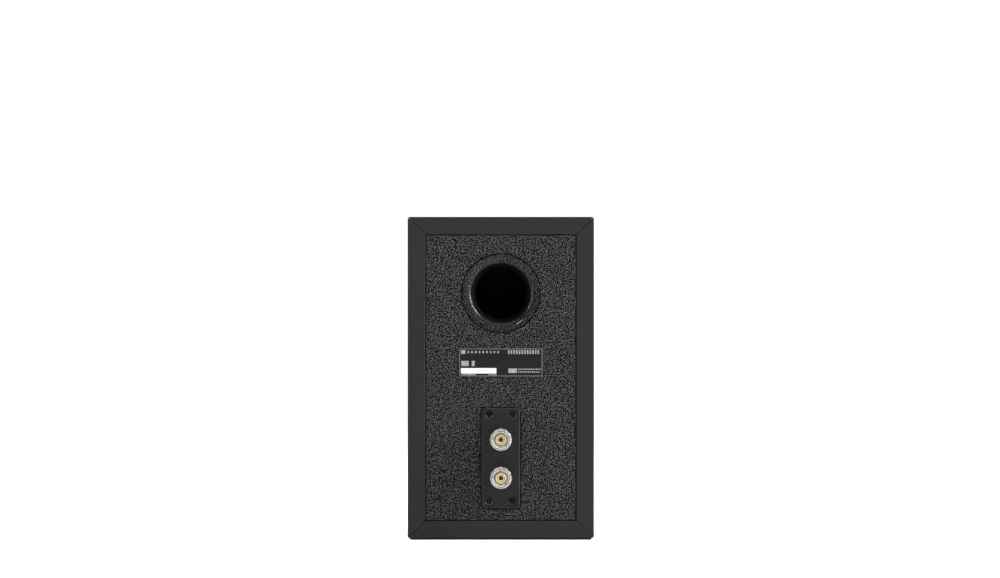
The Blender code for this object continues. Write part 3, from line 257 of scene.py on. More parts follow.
class Skin:
    """Grids of points and flat faces that together close a piece."""

    def __init__(self, at=(0.0, 0.0, 0.0), facing=REAR):
        self.at, self.facing = at, facing
        self.points, self.wear, self.faces, self.flat = [], [], [], []
        self.count = 0

    def lift(self, across, up, height):
        """Local (across, up, height) to the frame: each times its direction, from the skin's place."""
        local = np.stack(np.broadcast_arrays(across, up, height), -1)
        return np.asarray(self.at) + local @ self.facing

    def sheet(self, grid, wear=0.0, close_rows=False):
        """A grid of points (rows, columns, 3), each joined to the next in its row and its column. Every
        row closes on itself. Returns the points' numbers as (rows, columns)."""
        rows, columns = grid.shape[:2]
        number = self.count + np.arange(rows * columns).reshape(rows, columns)
        self.count += rows * columns
        self.points.append(grid.reshape(-1, 3))
        wear = np.asarray(wear, float)
        wear = np.broadcast_to(wear if wear.ndim == 2 else wear.reshape(-1, 1), (rows, columns))
        self.wear.append(wear.reshape(-1))
        loop = np.concatenate([number, number[:, :1]], 1)
        loop = np.concatenate([loop, loop[:1]], 0) if close_rows else loop
        quads = np.stack([loop[:-1, :-1], loop[:-1, 1:], loop[1:, 1:], loop[1:, :-1]], -1)
        self.faces += quads.reshape(-1, 4).tolist()
        self.flat += [False] * quads.shape[0] * quads.shape[1]
        return number

    def fill(self, outer, *holes):
        """A flat face inside a loop of point numbers, round any loops that are holes in it."""
        if holes:
            every = np.concatenate(self.points)
            loops = [outer, *holes]
            number = np.concatenate(loops)
            triangles = tessellate_polygon([every[loop].tolist() for loop in loops])
            found = number[np.asarray(triangles)].tolist()
        else:
            found = [list(outer)]
        self.faces += found
        self.flat += [True] * len(found)

    def cap(self, rings):
        """Flat faces over the first and the last ring."""
        self.fill(rings[0])
        self.fill(rings[-1])

    def turned(self, path, wear=0.0, sides=96, ring=False, radius_at=None):
        """A surface of revolution: each (r, h) of the path goes round as (r cos t, r sin t, h). A ring's
        path closes on itself, and any other starts and ends on the axis or at an open edge."""
        angle = np.arange(sides) * TURN / sides
        radius, height = path[:, :1], path[:, 1:]
        if radius_at is not None:
            radius = radius_at(radius, angle[None])
        return self.sheet(
            self.lift(radius * np.cos(angle), radius * np.sin(angle), height), wear, close_rows=ring
        )

    def stack(self, loops, heights, wear=0.0):
        """Outlines (columns, 2) carried through heights, each joined to the next."""
        loops = np.stack(loops)
        return self.sheet(self.lift(loops[..., 0], loops[..., 1], np.asarray(heights)[:, None]), wear)

    def bordered(self, corners, radius, rim, worn=1.0, inwards=0.0):
        """A polygon with rounded corners carried along a rim, whose points are (distance in from the
        polygon's sides, height). Worn is a factor on the wear of the rim's own edges."""
        path, wear = rim
        loops = [polygon(corners, radius, distance + inwards) for distance in path[:, 0]]
        return self.stack(loops, path[:, 1], wear * worn)

    def bored(self, section, sides, at=(0.0, 0.0), worn=1.0):
        """Circles round a place carried along a section, whose points are (radius, height)."""
        path, wear = section
        return self.stack([circle(radius, sides, at) for radius in path[:, 0]], path[:, 1], wear * worn)

    def make(self, name, finish, body="cabinet", replaces=()):
        """The mesh: doubles merged, so that poles and seams are closed, and all faces turned outwards."""
        mesh = bpy.data.meshes.new(name)
        mesh.from_pydata(np.concatenate(self.points).tolist(), [], self.faces)
        mesh.polygons.foreach_set("use_smooth", [not flat for flat in self.flat])
        layer = mesh.attributes.new("wear", "FLOAT", "POINT")
        layer.data.foreach_set("value", np.concatenate(self.wear).astype(np.float32))
        shell = bmesh.new()
        shell.from_mesh(mesh)
        bmesh.ops.remove_doubles(shell, verts=shell.verts, dist=1e-6)
        bmesh.ops.recalc_face_normals(shell, faces=shell.faces)
        shell.to_mesh(mesh)
        shell.free()
        mesh.set_sharp_from_angle(angle=math.radians(42))
        mesh.materials.append(finish)
        piece = bpy.data.objects.new(name, mesh)
        bpy.context.scene.collection.objects.link(piece)
        if body:
            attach(piece, body)
        if replaces:
            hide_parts(*replaces)
        return piece


def ring_piece(name, node, corners, at, facing, finish, body="cabinet", sides=144, steps=5):
    """A closed section turned round an axis, in a node's place."""
    skin = Skin(at, facing)
    skin.turned(*rounded_path(corners, steps), sides=sides, ring=True)
    return skin.make(name, finish, body, (node,))


def smooth_step(value, low, high):
    """0 below low, 1 above high, and an S between them."""
    t = np.clip((value - low) / (high - low), 0, 1)
    return t * t * (3 - 2 * t)


# ---------------------------------------------------------------- node trees


class Tree:
    """Adds nodes to a material or a group and joins them."""

    def __init__(self, tree):
        self.tree = tree

    def add(self, kind, inputs=None, **settings):
        node = self.tree.nodes.new(kind)
        for key, value in settings.items():
            setattr(node, key, value)
        for key, value in (inputs or {}).items():
            if isinstance(value, bpy.types.NodeSocket):
                self.tree.links.new(value, node.inputs[key])
            else:
                node.inputs[key].default_value = value
        return node

    def math(self, operation, first, second=0.0, third=0.0):
        inputs = {0: first, 1: second, 2: third}
        return self.add("ShaderNodeMath", inputs, operation=operation).outputs[0]

    def times(self, first, second):
        return self.math("MULTIPLY", first, second)

    def parts(self, vector):
        """A vector's x, y and z."""
        return self.add("ShaderNodeSeparateXYZ", {0: vector}).outputs

    def from_axis(self, parts):
        """Distance from the Y axis: the root of x squared plus z squared."""
        squares = self.math("ADD", self.times(parts[0], parts[0]), self.times(parts[2], parts[2]))
        return self.math("SQRT", squares)

    def scaled(self, vector, factor):
        inputs = {0: vector, "Scale": factor}
        return self.add("ShaderNodeVectorMath", inputs, operation="SCALE").outputs[0]

    def vector(self, operation, first, second=(0.0, 0.0, 0.0)):
        return self.add("ShaderNodeVectorMath", {0: first, 1: second}, operation=operation).outputs[0]

    def ramp(self, value, low, high, start=0.0, end=1.0, shape="SMOOTHSTEP"):
        """start below low, end above high, and an S between them."""
        inputs = {"Value": value, "From Min": low, "From Max": high, "To Min": start, "To Max": end}
        return self.add("ShaderNodeMapRange", inputs, interpolation_type=shape).outputs[0]

    def mix(self, factor, first, second):
        """The first colour where the factor is 0, and the second where it is 1."""
        node = self.add("ShaderNodeMix", data_type="RGBA")
        for key, value in ((0, factor), (6, first), (7, second)):
            if isinstance(value, bpy.types.NodeSocket):
                self.tree.links.new(value, node.inputs[key])
            elif key == 0:
                node.inputs[key].default_value = value
            else:
                node.inputs[key].default_value = (*value, 1.0)
        return node.outputs[2]

    def noise(self, vector, scale, detail=2.0, roughness=0.5, dimensions="3D"):
        inputs = {"Scale": scale, "Detail": detail, "Roughness": roughness}
        if dimensions == "1D":
            inputs["W"] = vector
        else:
            inputs["Vector"] = vector
        return self.add("ShaderNodeTexNoise", inputs, noise_dimensions=dimensions).outputs["Fac"]

    def group(self, build, **values):
        """Places a shared group, with this material's own values."""
        node = self.add("ShaderNodeGroup", node_tree=shared(build))
        for key, value in values.items():
            socket = node.inputs[key.replace("_", " ").capitalize()]
            if isinstance(value, bpy.types.NodeSocket):
                self.tree.links.new(value, socket)
            else:
                socket.default_value = value
        return node.outputs


def shared(build):
    """The shader node group that a function builds, made the first time it is asked for."""
    name = build.__name__.replace("_", " ").capitalize()
    found = bpy.data.node_groups.get(name)
    if found:
        return found
    group = bpy.data.node_groups.new(name, "ShaderNodeTree")
    tree = Tree(group)
    source, sink = tree.add("NodeGroupInput"), tree.add("NodeGroupOutput")

    def socket(way, label, kind, default):
        made = group.interface.new_socket(label, in_out=way, socket_type=kind)
        if default is not None:
            made.default_value = default

    results = build(tree, source, lambda *facts: socket("INPUT", *facts))
    for label, result in results.items():
        socket("OUTPUT", label, "NodeSocketFloat", None)
        tree.tree.links.new(result, sink.inputs[label])
    return group


FLOAT, VECTOR = "NodeSocketFloat", "NodeSocketVector"


def pebble_grain(tree, source, declare):
    """Fine embossed pebbles with pits between them, and a mask for the glints painted on their tops. The
    place
    is laid flat round the port: across and up are scaled by 1 + 0.5 y / r, so that the flare's grain is not
    drawn out as it turns inwards."""
    declare("Vector", VECTOR, None)
    declare("Size", FLOAT, 2 * MM)
    inputs = source.outputs
    scale = tree.math("DIVIDE", 1.0, inputs["Size"])
    parts = tree.parts(inputs["Vector"])
    inwards = tree.math("DIVIDE", parts[1], tree.math("MAXIMUM", tree.from_axis(parts), 1 * MM))
    shrink = tree.math("MAXIMUM", tree.math("MULTIPLY_ADD", inwards, 0.5, 1.0), 0.3)
    flat = tree.add("ShaderNodeCombineXYZ", {0: parts[0], 1: parts[2]}).outputs[0]
    flat = tree.scaled(flat, shrink)
    waver = {"Vector": flat, "Scale": 500.0, "Detail": 1.0}
    bend = tree.add("ShaderNodeTexNoise", waver, noise_dimensions="2D").outputs["Color"]
    shift = tree.vector("SUBTRACT", bend, (0.5, 0.5, 0.5))
    place = tree.vector("ADD", flat, tree.scaled(shift, 0.7 * MM))

    def cells(size, randomness):
        inputs = {"Vector": place, "Scale": tree.times(scale, size), "Randomness": randomness}
        return tree.add("ShaderNodeTexVoronoi", inputs, voronoi_dimensions="2D").outputs

    dome = tree.ramp(cells(1.0, 0.95)["Distance"], 0.60, 0.10)
    small = cells(1.9, 1.0)
    lone = tree.parts(small["Color"])[0]
    lone = tree.math("MULTIPLY_ADD", lone, 0.7, 0.3)
    fleck = tree.times(tree.ramp(small["Distance"], 0.55, 0.1), lone)
    height = tree.math("MULTIPLY_ADD", fleck, 0.45, tree.times(dome, 0.55))
    return {"Height": height, "Fleck": tree.times(dome, fleck)}


def fine_grain(tree, source, declare):
    """The even tooth of moulded plastic or wrapped vinyl, with a slow drift in its shade."""
    declare("Vector", VECTOR, None)
    declare("Size", FLOAT, 0.5 * MM)
    inputs = source.outputs
    scale = tree.math("DIVIDE", 1.0, inputs["Size"])
    fine = tree.noise(inputs["Vector"], scale, 4.0, 0.6)
    drift = tree.noise(inputs["Vector"], 14.0, 3.0, 0.55)
    return {"Height": fine, "Drift": drift}


def edge_wear(tree, source, declare):
    """Rubbed edges: the piece's wear attribute, broken up by noise."""
    declare("Vector", VECTOR, None)
    declare("Amount", FLOAT, 0.5)
    inputs = source.outputs
    worn = tree.add("ShaderNodeAttribute", attribute_name="wear").outputs["Fac"]
    broken = tree.ramp(tree.noise(inputs["Vector"], 90.0, 5.0, 0.65), 0.35, 0.62, 0.25, 1.0)
    mask = tree.times(tree.times(worn, broken), inputs["Amount"])
    return {"Mask": mask}


def settled_dust(tree, source, declare):
    """A thin veil of dust on whatever faces up, in soft patches."""
    declare("Vector", VECTOR, None)
    declare("Amount", FLOAT, 0.1)
    inputs = source.outputs
    normal = tree.add("ShaderNodeNewGeometry").outputs["Normal"]
    up = tree.parts(normal)[2]
    patches = tree.ramp(tree.noise(inputs["Vector"], 22.0, 6.0, 0.6), 0.3, 0.75, 0.6, 1.0)
    specks = tree.ramp(tree.noise(inputs["Vector"], 1400.0, 2.0, 0.6), 0.45, 0.7, 0.5, 1.4)
    veil = tree.times(tree.times(patches, specks), inputs["Amount"])
    mask = tree.times(tree.ramp(up, 0.2, 1.0), veil)
    return {"Mask": mask}


def turning_marks(tree, source, declare):
    """Fine rings left by a lathe, on distance from the piece's axis and along it."""
    declare("Vector", VECTOR, None)
    declare("Pitch", FLOAT, 0.25 * MM)
    inputs = source.outputs
    parts = tree.parts(inputs["Vector"])
    radius = tree.from_axis(parts)
    along = tree.math("MULTIPLY_ADD", parts[1], 0.8, radius)
    rings = tree.noise(tree.math("DIVIDE", along, inputs["Pitch"]), 1.0, 3.0, 0.6, "1D")
    return {"Height": rings, "Radius": radius}


def woven_threads(tree, source, declare):
    """Plain weave on two coordinates: each thread's round back, over and under in turn."""
    declare("Across", FLOAT, 0.0)
    declare("Along", FLOAT, 0.0)
    declare("Pitch", FLOAT, 0.5 * MM)
    inputs = source.outputs

    def threads(coordinate, other):
        phase = tree.times(tree.math("DIVIDE", coordinate, inputs["Pitch"]), math.pi)
        back = tree.math("ABSOLUTE", tree.math("SINE", phase))
        crossing = tree.times(tree.math("DIVIDE", other, inputs["Pitch"]), math.pi)
        over = tree.math("MULTIPLY_ADD", tree.math("SINE", crossing), 0.5, 0.5)
        return tree.times(back, over)

    warp = threads(inputs["Across"], inputs["Along"])
    shifted = tree.math("ADD", inputs["Across"], inputs["Pitch"])
    weft = threads(inputs["Along"], shifted)
    height = tree.math("MAXIMUM", warp, weft)
    return {"Height": height, "Gap": tree.ramp(height, 0.45, 0.1)}


def wound_wire(tree, source, declare):
    """Turns of wire side by side along a coordinate, each one round."""
    declare("Along", FLOAT, 0.0)
    declare("Pitch", FLOAT, 0.4 * MM)
    inputs = source.outputs
    phase = tree.times(tree.math("DIVIDE", inputs["Along"], inputs["Pitch"]), math.pi)
    round_back = tree.math("ABSOLUTE", tree.math("SINE", phase))
    return {"Height": round_back, "Gap": tree.ramp(round_back, 0.5, 0.05)}


def printed_bar(tree, source, declare):
    """A mask that is 1 inside an upright rectangle of the label."""
    declare("Vector", VECTOR, None)
    declare("Centre", VECTOR, None)
    declare("Half", VECTOR, None)
    inputs = source.outputs
    away = tree.vector("ABSOLUTE", tree.vector("SUBTRACT", inputs["Vector"], inputs["Centre"]))
    parts = tree.parts(tree.vector("SUBTRACT", inputs["Half"], away))
    inside = tree.math("MINIMUM", parts[0], parts[2])
    return {"Mask": tree.ramp(inside, -0.04 * MM, 0.04 * MM)}


# ---------------------------------------------------------------- materials


class Finish:
    """A material with one Principled shader, and the object's own coordinates centred on a point."""

    def __init__(self, name, at=(0.0, 0.0, 0.0), **plain):
        self.material = bpy.data.materials.new(name)
        self.material.use_nodes = True
        self.material.node_tree.nodes.clear()
        self.tree = Tree(self.material.node_tree)
        self.shader = self.tree.add("ShaderNodeBsdfPrincipled")
        output = self.tree.add("ShaderNodeOutputMaterial")
        self.tree.tree.links.new(self.shader.outputs[0], output.inputs["Surface"])
        where = self.tree.add("ShaderNodeTexCoord").outputs["Object"]
        centre = tuple(-value for value in at)
        self.place = self.tree.add("ShaderNodeMapping", {"Vector": where, "Location": centre}).outputs[0]
        for key, value in plain.items():
            self.shader.inputs[key.replace("_", " ")].default_value = value

    def feed(self, key, value):
        self.tree.tree.links.new(value, self.shader.inputs[key])

    def bump(self, height, distance, under=None):
        inputs = {"Height": height, "Distance": distance}
        if under is not None:
            inputs["Normal"] = under
        return self.tree.add("ShaderNodeBump", inputs).outputs[0]


def tinted(base, factor):
    """A colour made darker or lighter."""
    return tuple(min(value * factor, 1.0) for value in base[:3])


def pebbled_finish(name, base, size, deep=(0.2, 1.1), polish=0.0):
    """Pebbled wrap: pits painted black as shade, dull shoulders and slightly polished tops, some painted
    paler as glints. Painted shade turns it black between two depths below the panel's face, in millimetres."""
    finish = Finish(name, PORT_AT, Specular_IOR_Level=0.1, Coat_Roughness=0.16)
    tree = finish.tree
    grain = tree.group(pebble_grain, vector=finish.place, size=size)
    wear = tree.group(edge_wear, vector=finish.place, amount=0.2)["Mask"]
    depth_in = tree.parts(finish.place)[1]
    # painted shade: the wrap turns black between the two depths, down pockets, grooves and the port's throat
    sunk = tree.ramp(depth_in, -deep[0] * MM, -deep[1] * MM)
    # painted shade and highlight: black in the pits, paler on the tops, brightest where the glints are
    # painted
    tone = tree.mix(tree.math("POWER", grain["Height"], 2.0), tinted(base, 0.0), tinted(base, 1.8))
    tone = tree.mix(grain["Fleck"], tone, tinted(base, 18.0))
    tone = tree.mix(wear, tone, tinted(base, 1.6))
    finish.feed("Base Color", tree.mix(sunk, tone, (0.0, 0.0, 0.0)))
    finish.feed("Roughness", tree.ramp(grain["Height"], 0.1, 0.9, 0.8, 0.5))
    tops = tree.times(tree.ramp(grain["Height"], 0.15, 0.6, 0.1, 1.0), polish)
    lit = tree.ramp(depth_in, -1.8 * MM, -4.0 * MM, 1.0, 0.0)
    finish.feed("Coat Weight", tree.times(tops, lit))
    finish.feed("Normal", finish.bump(grain["Height"], 0.2 * MM))
    return finish.material


def grained_finish(
    name, base, size=0.5 * MM, depth=0.02 * MM, roughness=0.5, wear=0.4, dust=0.03, rubbed=2.0,
    recess_shade_spots=(), recess_shade_r=0.0, **plain
):
    """Smooth wrapped or moulded surface with a fine tooth, rubbed edges and a little dust."""
    finish = Finish(name, Roughness=roughness, **plain)
    tree = finish.tree
    grain = tree.group(fine_grain, vector=finish.place, size=size)
    worn = tree.group(edge_wear, vector=finish.place, amount=wear)["Mask"]
    veil = tree.group(settled_dust, vector=finish.place, amount=dust)["Mask"]
    tone = tree.mix(grain["Drift"], tinted(base, 0.93), tinted(base, 1.07))
    tone = tree.mix(worn, tone, tinted(base, rubbed))
    tone = tree.mix(veil, tone, (0.35, 0.34, 0.32))
    for shade_centre in recess_shade_spots:  # painted shade: each recess turns black, where shade falls in it
        away = tree.vector("MULTIPLY", tree.vector("SUBTRACT", finish.place, shade_centre), (1.0, 0.0, 1.0))
        apart = tree.add("ShaderNodeVectorMath", {0: away}, operation="LENGTH").outputs["Value"]
        tone = tree.mix(tree.ramp(apart, recess_shade_r, recess_shade_r - 0.3 * MM), tone, tinted(base, 0.0))
    finish.feed("Base Color", tone)
    drifting = tree.ramp(grain["Drift"], 0.3, 0.7, roughness - 0.02, roughness + 0.025)
    finish.feed("Roughness", tree.math("ADD", drifting, tree.times(veil, 0.3)))
    finish.feed("Normal", finish.bump(grain["Height"], depth))
    return finish.material


def metal_finish(name, base, at, bore_r=0.0, face_r=1.0):
    """Turned metal: fine rings, a drift between bright and dull, and painted shade that darkens the bore
    within one radius and the shoulder beyond another."""
    finish = Finish(name, at, Metallic=0.55)
    tree = finish.tree
    marks = tree.group(turning_marks, vector=finish.place, pitch=0.2 * MM)
    grain = tree.group(fine_grain, vector=finish.place, size=0.6 * MM)
    tone = tree.mix(grain["Drift"], tinted(base, 0.85), tinted(base, 1.08))
    # painted shade on the shoulder, beyond the face's radius
    shoulder_shade = tree.ramp(marks["Radius"], face_r - 0.1 * MM, face_r + 0.2 * MM)
    tone = tree.mix(shoulder_shade, tone, (base[0] * 0.42, base[1] * 0.36, base[2] * 0.27))
    # painted shade inside the bore
    bore = tree.ramp(marks["Radius"], bore_r + 0.15 * MM, bore_r - 0.15 * MM)
    finish.feed("Base Color", tree.mix(bore, tone, (base[0] * 0.45, base[1] * 0.32, base[2] * 0.16)))
    finish.feed("Roughness", tree.ramp(marks["Height"], 0.3, 0.7, 0.17, 0.30))
    finish.feed("Normal", finish.bump(marks["Height"], 0.004 * MM))
    return finish.material


def clear_finish(base):
    """Clear plastic with faint scratches, shared by both knobs' sides."""
    finish = Finish("Clear plastic", Transmission_Weight=0.9, IOR=1.49)
    tree = finish.tree
    grain = tree.group(fine_grain, vector=finish.place, size=1.2 * MM)
    worn = tree.group(edge_wear, vector=finish.place, amount=0.5)["Mask"]
    tone = tree.mix(grain["Drift"], tinted(base, 0.96), base)
    # rubbed rims go white: partly scuffs, partly a painted highlight on the rims
    finish.feed("Base Color", tree.mix(worn, tone, (1.0, 1.0, 1.0)))
    rough = tree.ramp(grain["Height"], 0.3, 0.7, 0.05, 0.12)
    finish.feed("Roughness", tree.math("ADD", rough, tree.times(worn, 0.15)))
    finish.feed("Normal", finish.bump(grain["Height"], 0.02 * MM))
    return finish.material


def face_finish(name, base, at):
    """The knob's moulded face: milky plastic, with thin rings of painted shade, broken here and there, at
    its steps."""
    finish = Finish(name, at, Transmission_Weight=0.35, IOR=1.49)
    tree = finish.tree
    marks = tree.group(turning_marks, vector=finish.place, pitch=0.5 * MM)
    worn = tree.group(edge_wear, vector=finish.place, amount=0.5)["Mask"]
    swirl = tree.noise(finish.place, 420.0, 2.0, 0.6)
    tone = tree.mix(tree.ramp(swirl, 0.34, 0.52), tinted(base, 0.40), base)
    lower = tree.vector("ADD", finish.place, (0.0, 0.0, 0.45 * MM))
    radius = tree.group(turning_marks, vector=lower)["Radius"]
    # rings of painted shade at the face's steps
    for shaded_step_r, dark in ((6.9, 0.04), (8.7, 0.10), (10.2, 0.12)):
        apart = tree.math("ABSOLUTE", tree.math("SUBTRACT", radius, shaded_step_r * MM))
        broken = tree.times(tree.ramp(apart, 0.6 * MM, 0.25 * MM), tree.ramp(swirl, 0.78, 0.5))
        tone = tree.mix(broken, tone, (dark, dark * 0.95, dark * 0.82))
    # rubbed rims go white: partly scuffs, partly a painted highlight on the rims
    finish.feed("Base Color", tree.mix(worn, tone, (1.0, 1.0, 1.0)))
    rough = tree.ramp(marks["Height"], 0.3, 0.7, 0.08, 0.18)
    finish.feed("Roughness", tree.math("ADD", rough, tree.times(worn, 0.1)))
    finish.feed("Normal", finish.bump(marks["Height"], 0.03 * MM))
    return finish.material


def label_finish(name, at, width, height):
    """Dark satin film with a thin pale border, and plain printed bars and blocks for its layout."""
    finish = Finish(name, at, Specular_IOR_Level=0.25)
    tree = finish.tree

    def bar(x, z, half_x, half_z):
        half = (half_x * MM, 1.0, half_z * MM)
        return tree.group(
            printed_bar, vector=finish.place, centre=(x * MM, 0.0, z * MM), half=half
        )["Mask"]

    def dashes(x, z, half_x, half_z, pitch, part):
        across = tree.parts(finish.place)[0]
        phase = tree.math("FRACT", tree.math("DIVIDE", tree.math("ADD", across, 0.1), pitch * MM))
        inside = tree.math("ABSOLUTE", tree.math("SUBTRACT", phase, 0.5))
        return tree.times(bar(x, z, half_x, half_z), tree.ramp(inside, part / 2, part / 2 - 0.08))

    def framed(margin):
        return bar(0, 0, width / MM / 2 - margin, height / MM / 2 - margin)

    rim = tree.math("SUBTRACT", framed(0.5), framed(1.15))
    # Each bar is (across, up, half its width, half its height) in millimetres from the label's middle,
    # and a dashed one goes on with its dashes' pitch and the part of it that each dash fills.
    bars = [
        (36.3, 10.0, 2.1, 1.8),
        (34.6, -1.0, 3.6, 2.5),
        (26.7, -1.0, 1.5, 2.5),
        (-11.5, -8.0, 4.1, 2.2),
        (31.0, -11.9, 7.0, 0.4),
        (8.2, -11.9, 4.0, 0.4),
    ]
    dashed = [
        (17.0, 10.0, 15.6, 1.1, 3.6, 0.5),
        (-21.9, 10.0, 15.0, 1.9, 2.6, 0.62),
        (-27.4, -6.6, 11.2, 0.6, 1.7, 0.75),
        (-27.0, -9.2, 10.8, 0.6, 1.9, 0.75),
    ]
    printed = tree.times(rim, 0.5)
    for mask in [bar(*place) for place in bars] + [dashes(*place) for place in dashed]:
        printed = tree.math("MAXIMUM", printed, mask)
    speckle = tree.noise(finish.place, 700.0, 2.0, 0.6)
    printed = tree.times(printed, tree.ramp(speckle, 0.3, 0.7, 0.6, 1.0))
    box = bar(21.4, -8.1, 17.1, 2.6)
    grain = tree.group(fine_grain, vector=finish.place, size=0.6 * MM)
    film = tree.mix(grain["Drift"], (0.006, 0.006, 0.0065), (0.010, 0.010, 0.0105))
    tone = tree.mix(printed, film, (0.42, 0.42, 0.42))
    finish.feed("Base Color", tree.mix(box, tone, (0.90, 0.90, 0.89)))
    finish.feed("Roughness", tree.ramp(grain["Drift"], 0.3, 0.7, 0.34, 0.44))
    finish.feed("Normal", finish.bump(grain["Height"], 0.006 * MM))
    return finish.material


def lacquer_finish(name, base):
    """Satin lacquer: even and dark, with a barely visible orange peel."""
    finish = Finish(name, Specular_IOR_Level=0.35)
    tree = finish.tree
    grain = tree.group(fine_grain, vector=finish.place, size=1.6 * MM)
    worn = tree.group(edge_wear, vector=finish.place, amount=0.25)["Mask"]
    veil = tree.group(settled_dust, vector=finish.place, amount=0.03)["Mask"]
    tone = tree.mix(grain["Drift"], tinted(base, 0.9), tinted(base, 1.12))
    tone = tree.mix(worn, tone, tinted(base, 2.0))
    finish.feed("Base Color", tree.mix(veil, tone, (0.35, 0.34, 0.32)))
    finish.feed("Roughness", tree.ramp(grain["Drift"], 0.3, 0.7, 0.36, 0.46))
    finish.feed("Normal", finish.bump(grain["Height"], 0.012 * MM))
    return finish.material


def rubber_finish(name, base, at):
    """Matt rubber with faint flow rings and a dry bloom."""
    finish = Finish(name, at, Sheen_Weight=0.05, Sheen_Roughness=0.5, Specular_IOR_Level=0.3)
    tree = finish.tree
    grain = tree.group(fine_grain, vector=finish.place, size=0.5 * MM)
    rings = tree.group(turning_marks, vector=finish.place, pitch=0.9 * MM)
    tone = tree.mix(grain["Drift"], tinted(base, 0.85), tinted(base, 1.35))
    finish.feed("Base Color", tree.mix(tree.ramp(rings["Height"], 0.5, 0.8), tone, tinted(base, 1.5)))
    finish.feed("Roughness", tree.ramp(grain["Drift"], 0.3, 0.7, 0.36, 0.48))
    under = finish.bump(rings["Height"], 0.01 * MM)
    finish.feed("Normal", finish.bump(grain["Height"], 0.015 * MM, under=under))
    return finish.material


def paper_finish(name, base, at):
    """Pressed and coated paper pulp: long pale fibres in a dark ground, and a soft unevenness."""
    finish = Finish(name, at, Specular_IOR_Level=0.35)
    tree = finish.tree
    upright = {"Vector": finish.place, "Scale": (1.0, 1.0, 0.22)}
    slanting = {"Vector": finish.place, "Rotation": (0, 1.1, 0), "Scale": (0.22, 1.0, 1.0)}
    stretched = tree.add("ShaderNodeMapping", upright).outputs[0]
    turned = tree.add("ShaderNodeMapping", slanting).outputs[0]
    first = tree.ramp(tree.noise(stretched, 900.0, 4.0, 0.6), 0.58, 0.72)
    second = tree.ramp(tree.noise(turned, 900.0, 4.0, 0.6), 0.58, 0.72)
    fibres = tree.math("MAXIMUM", first, second)
    grain = tree.group(fine_grain, vector=finish.place, size=0.8 * MM)
    tone = tree.mix(grain["Drift"], tinted(base, 0.8), tinted(base, 1.25))
    finish.feed("Base Color", tree.mix(fibres, tone, tinted(base, 2.1)))
    finish.feed("Roughness", tree.ramp(grain["Height"], 0.3, 0.7, 0.55, 0.72))
    height = tree.math("MULTIPLY_ADD", fibres, 0.5, grain["Height"])
    finish.feed("Normal", finish.bump(height, 0.03 * MM))
    return finish.material


def woven_finish(name, base, at, pitch, roughness=0.6):
    """Plain-woven cloth, doped: threads across and up, with darker gaps."""
    finish = Finish(name, at, Sheen_Weight=0.25, Sheen_Roughness=0.4)
    tree = finish.tree
    parts = tree.parts(finish.place)
    cloth = tree.group(woven_threads, across=parts[0], along=parts[2], pitch=pitch)
    grain = tree.group(fine_grain, vector=finish.place, size=0.4 * MM)
    tone = tree.mix(grain["Drift"], tinted(base, 0.85), tinted(base, 1.3))
    finish.feed("Base Color", tree.mix(cloth["Gap"], tone, tinted(base, 0.35)))
    finish.feed("Roughness", tree.ramp(cloth["Height"], 0.2, 1.0, roughness + 0.12, roughness - 0.04))
    finish.feed("Normal", finish.bump(cloth["Height"], pitch * 0.25))
    return finish.material


def coil_finish(name, axis, pitch):
    """Enamelled copper wire wound side by side along one axis."""
    finish = Finish(name, Metallic=1.0)
    tree = finish.tree
    parts = tree.parts(finish.place)
    wire = tree.group(wound_wire, along=parts[axis], pitch=pitch)
    grain = tree.group(fine_grain, vector=finish.place, size=0.7 * MM)
    tone = tree.mix(grain["Drift"], (0.52, 0.17, 0.06), (0.68, 0.25, 0.10))
    # painted shade between the round turns of wire
    finish.feed("Base Color", tree.mix(wire["Gap"], tone, (0.10, 0.03, 0.012)))
    finish.feed("Roughness", tree.ramp(wire["Height"], 0.0, 1.0, 0.5, 0.26))
    finish.feed("Normal", finish.bump(wire["Height"], pitch * 0.4))
    return finish.material


def painted_steel(name, base):
    """Black-passivated steel plate with a dull drift and rubbed edges."""
    finish = Finish(name, Metallic=0.2)
    tree = finish.tree
    grain = tree.group(fine_grain, vector=finish.place, size=0.8 * MM)
    worn = tree.group(edge_wear, vector=finish.place, amount=0.7)["Mask"]
    tone = tree.mix(grain["Drift"], tinted(base, 0.7), tinted(base, 1.3))
    finish.feed("Base Color", tree.mix(worn, tone, (0.22, 0.21, 0.20)))
    finish.feed("Roughness", tree.ramp(grain["Drift"], 0.3, 0.7, 0.5, 0.68))
    finish.feed("Normal", finish.bump(grain["Height"], 0.01 * MM))
    return finish.material


def board_finish():
    """Glass-fibre board: a green mask over a faint weave, with wide copper runs under it."""
    finish = Finish("Circuit board", Coat_Weight=0.3, Coat_Roughness=0.2)
    tree = finish.tree
    parts = tree.parts(finish.place)
    cloth = tree.group(woven_threads, across=parts[0], along=parts[1], pitch=0.6 * MM)
    runs = tree.ramp(tree.noise(finish.place, 32.0, 0.0, 0.5), 0.5, 0.515)
    tone = tree.mix(runs, (0.008, 0.055, 0.022), (0.014, 0.095, 0.036))
    finish.feed("Base Color", tree.mix(cloth["Gap"], tone, (0.006, 0.045, 0.018)))
    finish.feed("Roughness", tree.ramp(runs, 0.0, 1.0, 0.42, 0.34))
    height = tree.math("MULTIPLY_ADD", cloth["Height"], 0.15, runs)
    finish.feed("Normal", finish.bump(height, 0.03 * MM))
    return finish.material


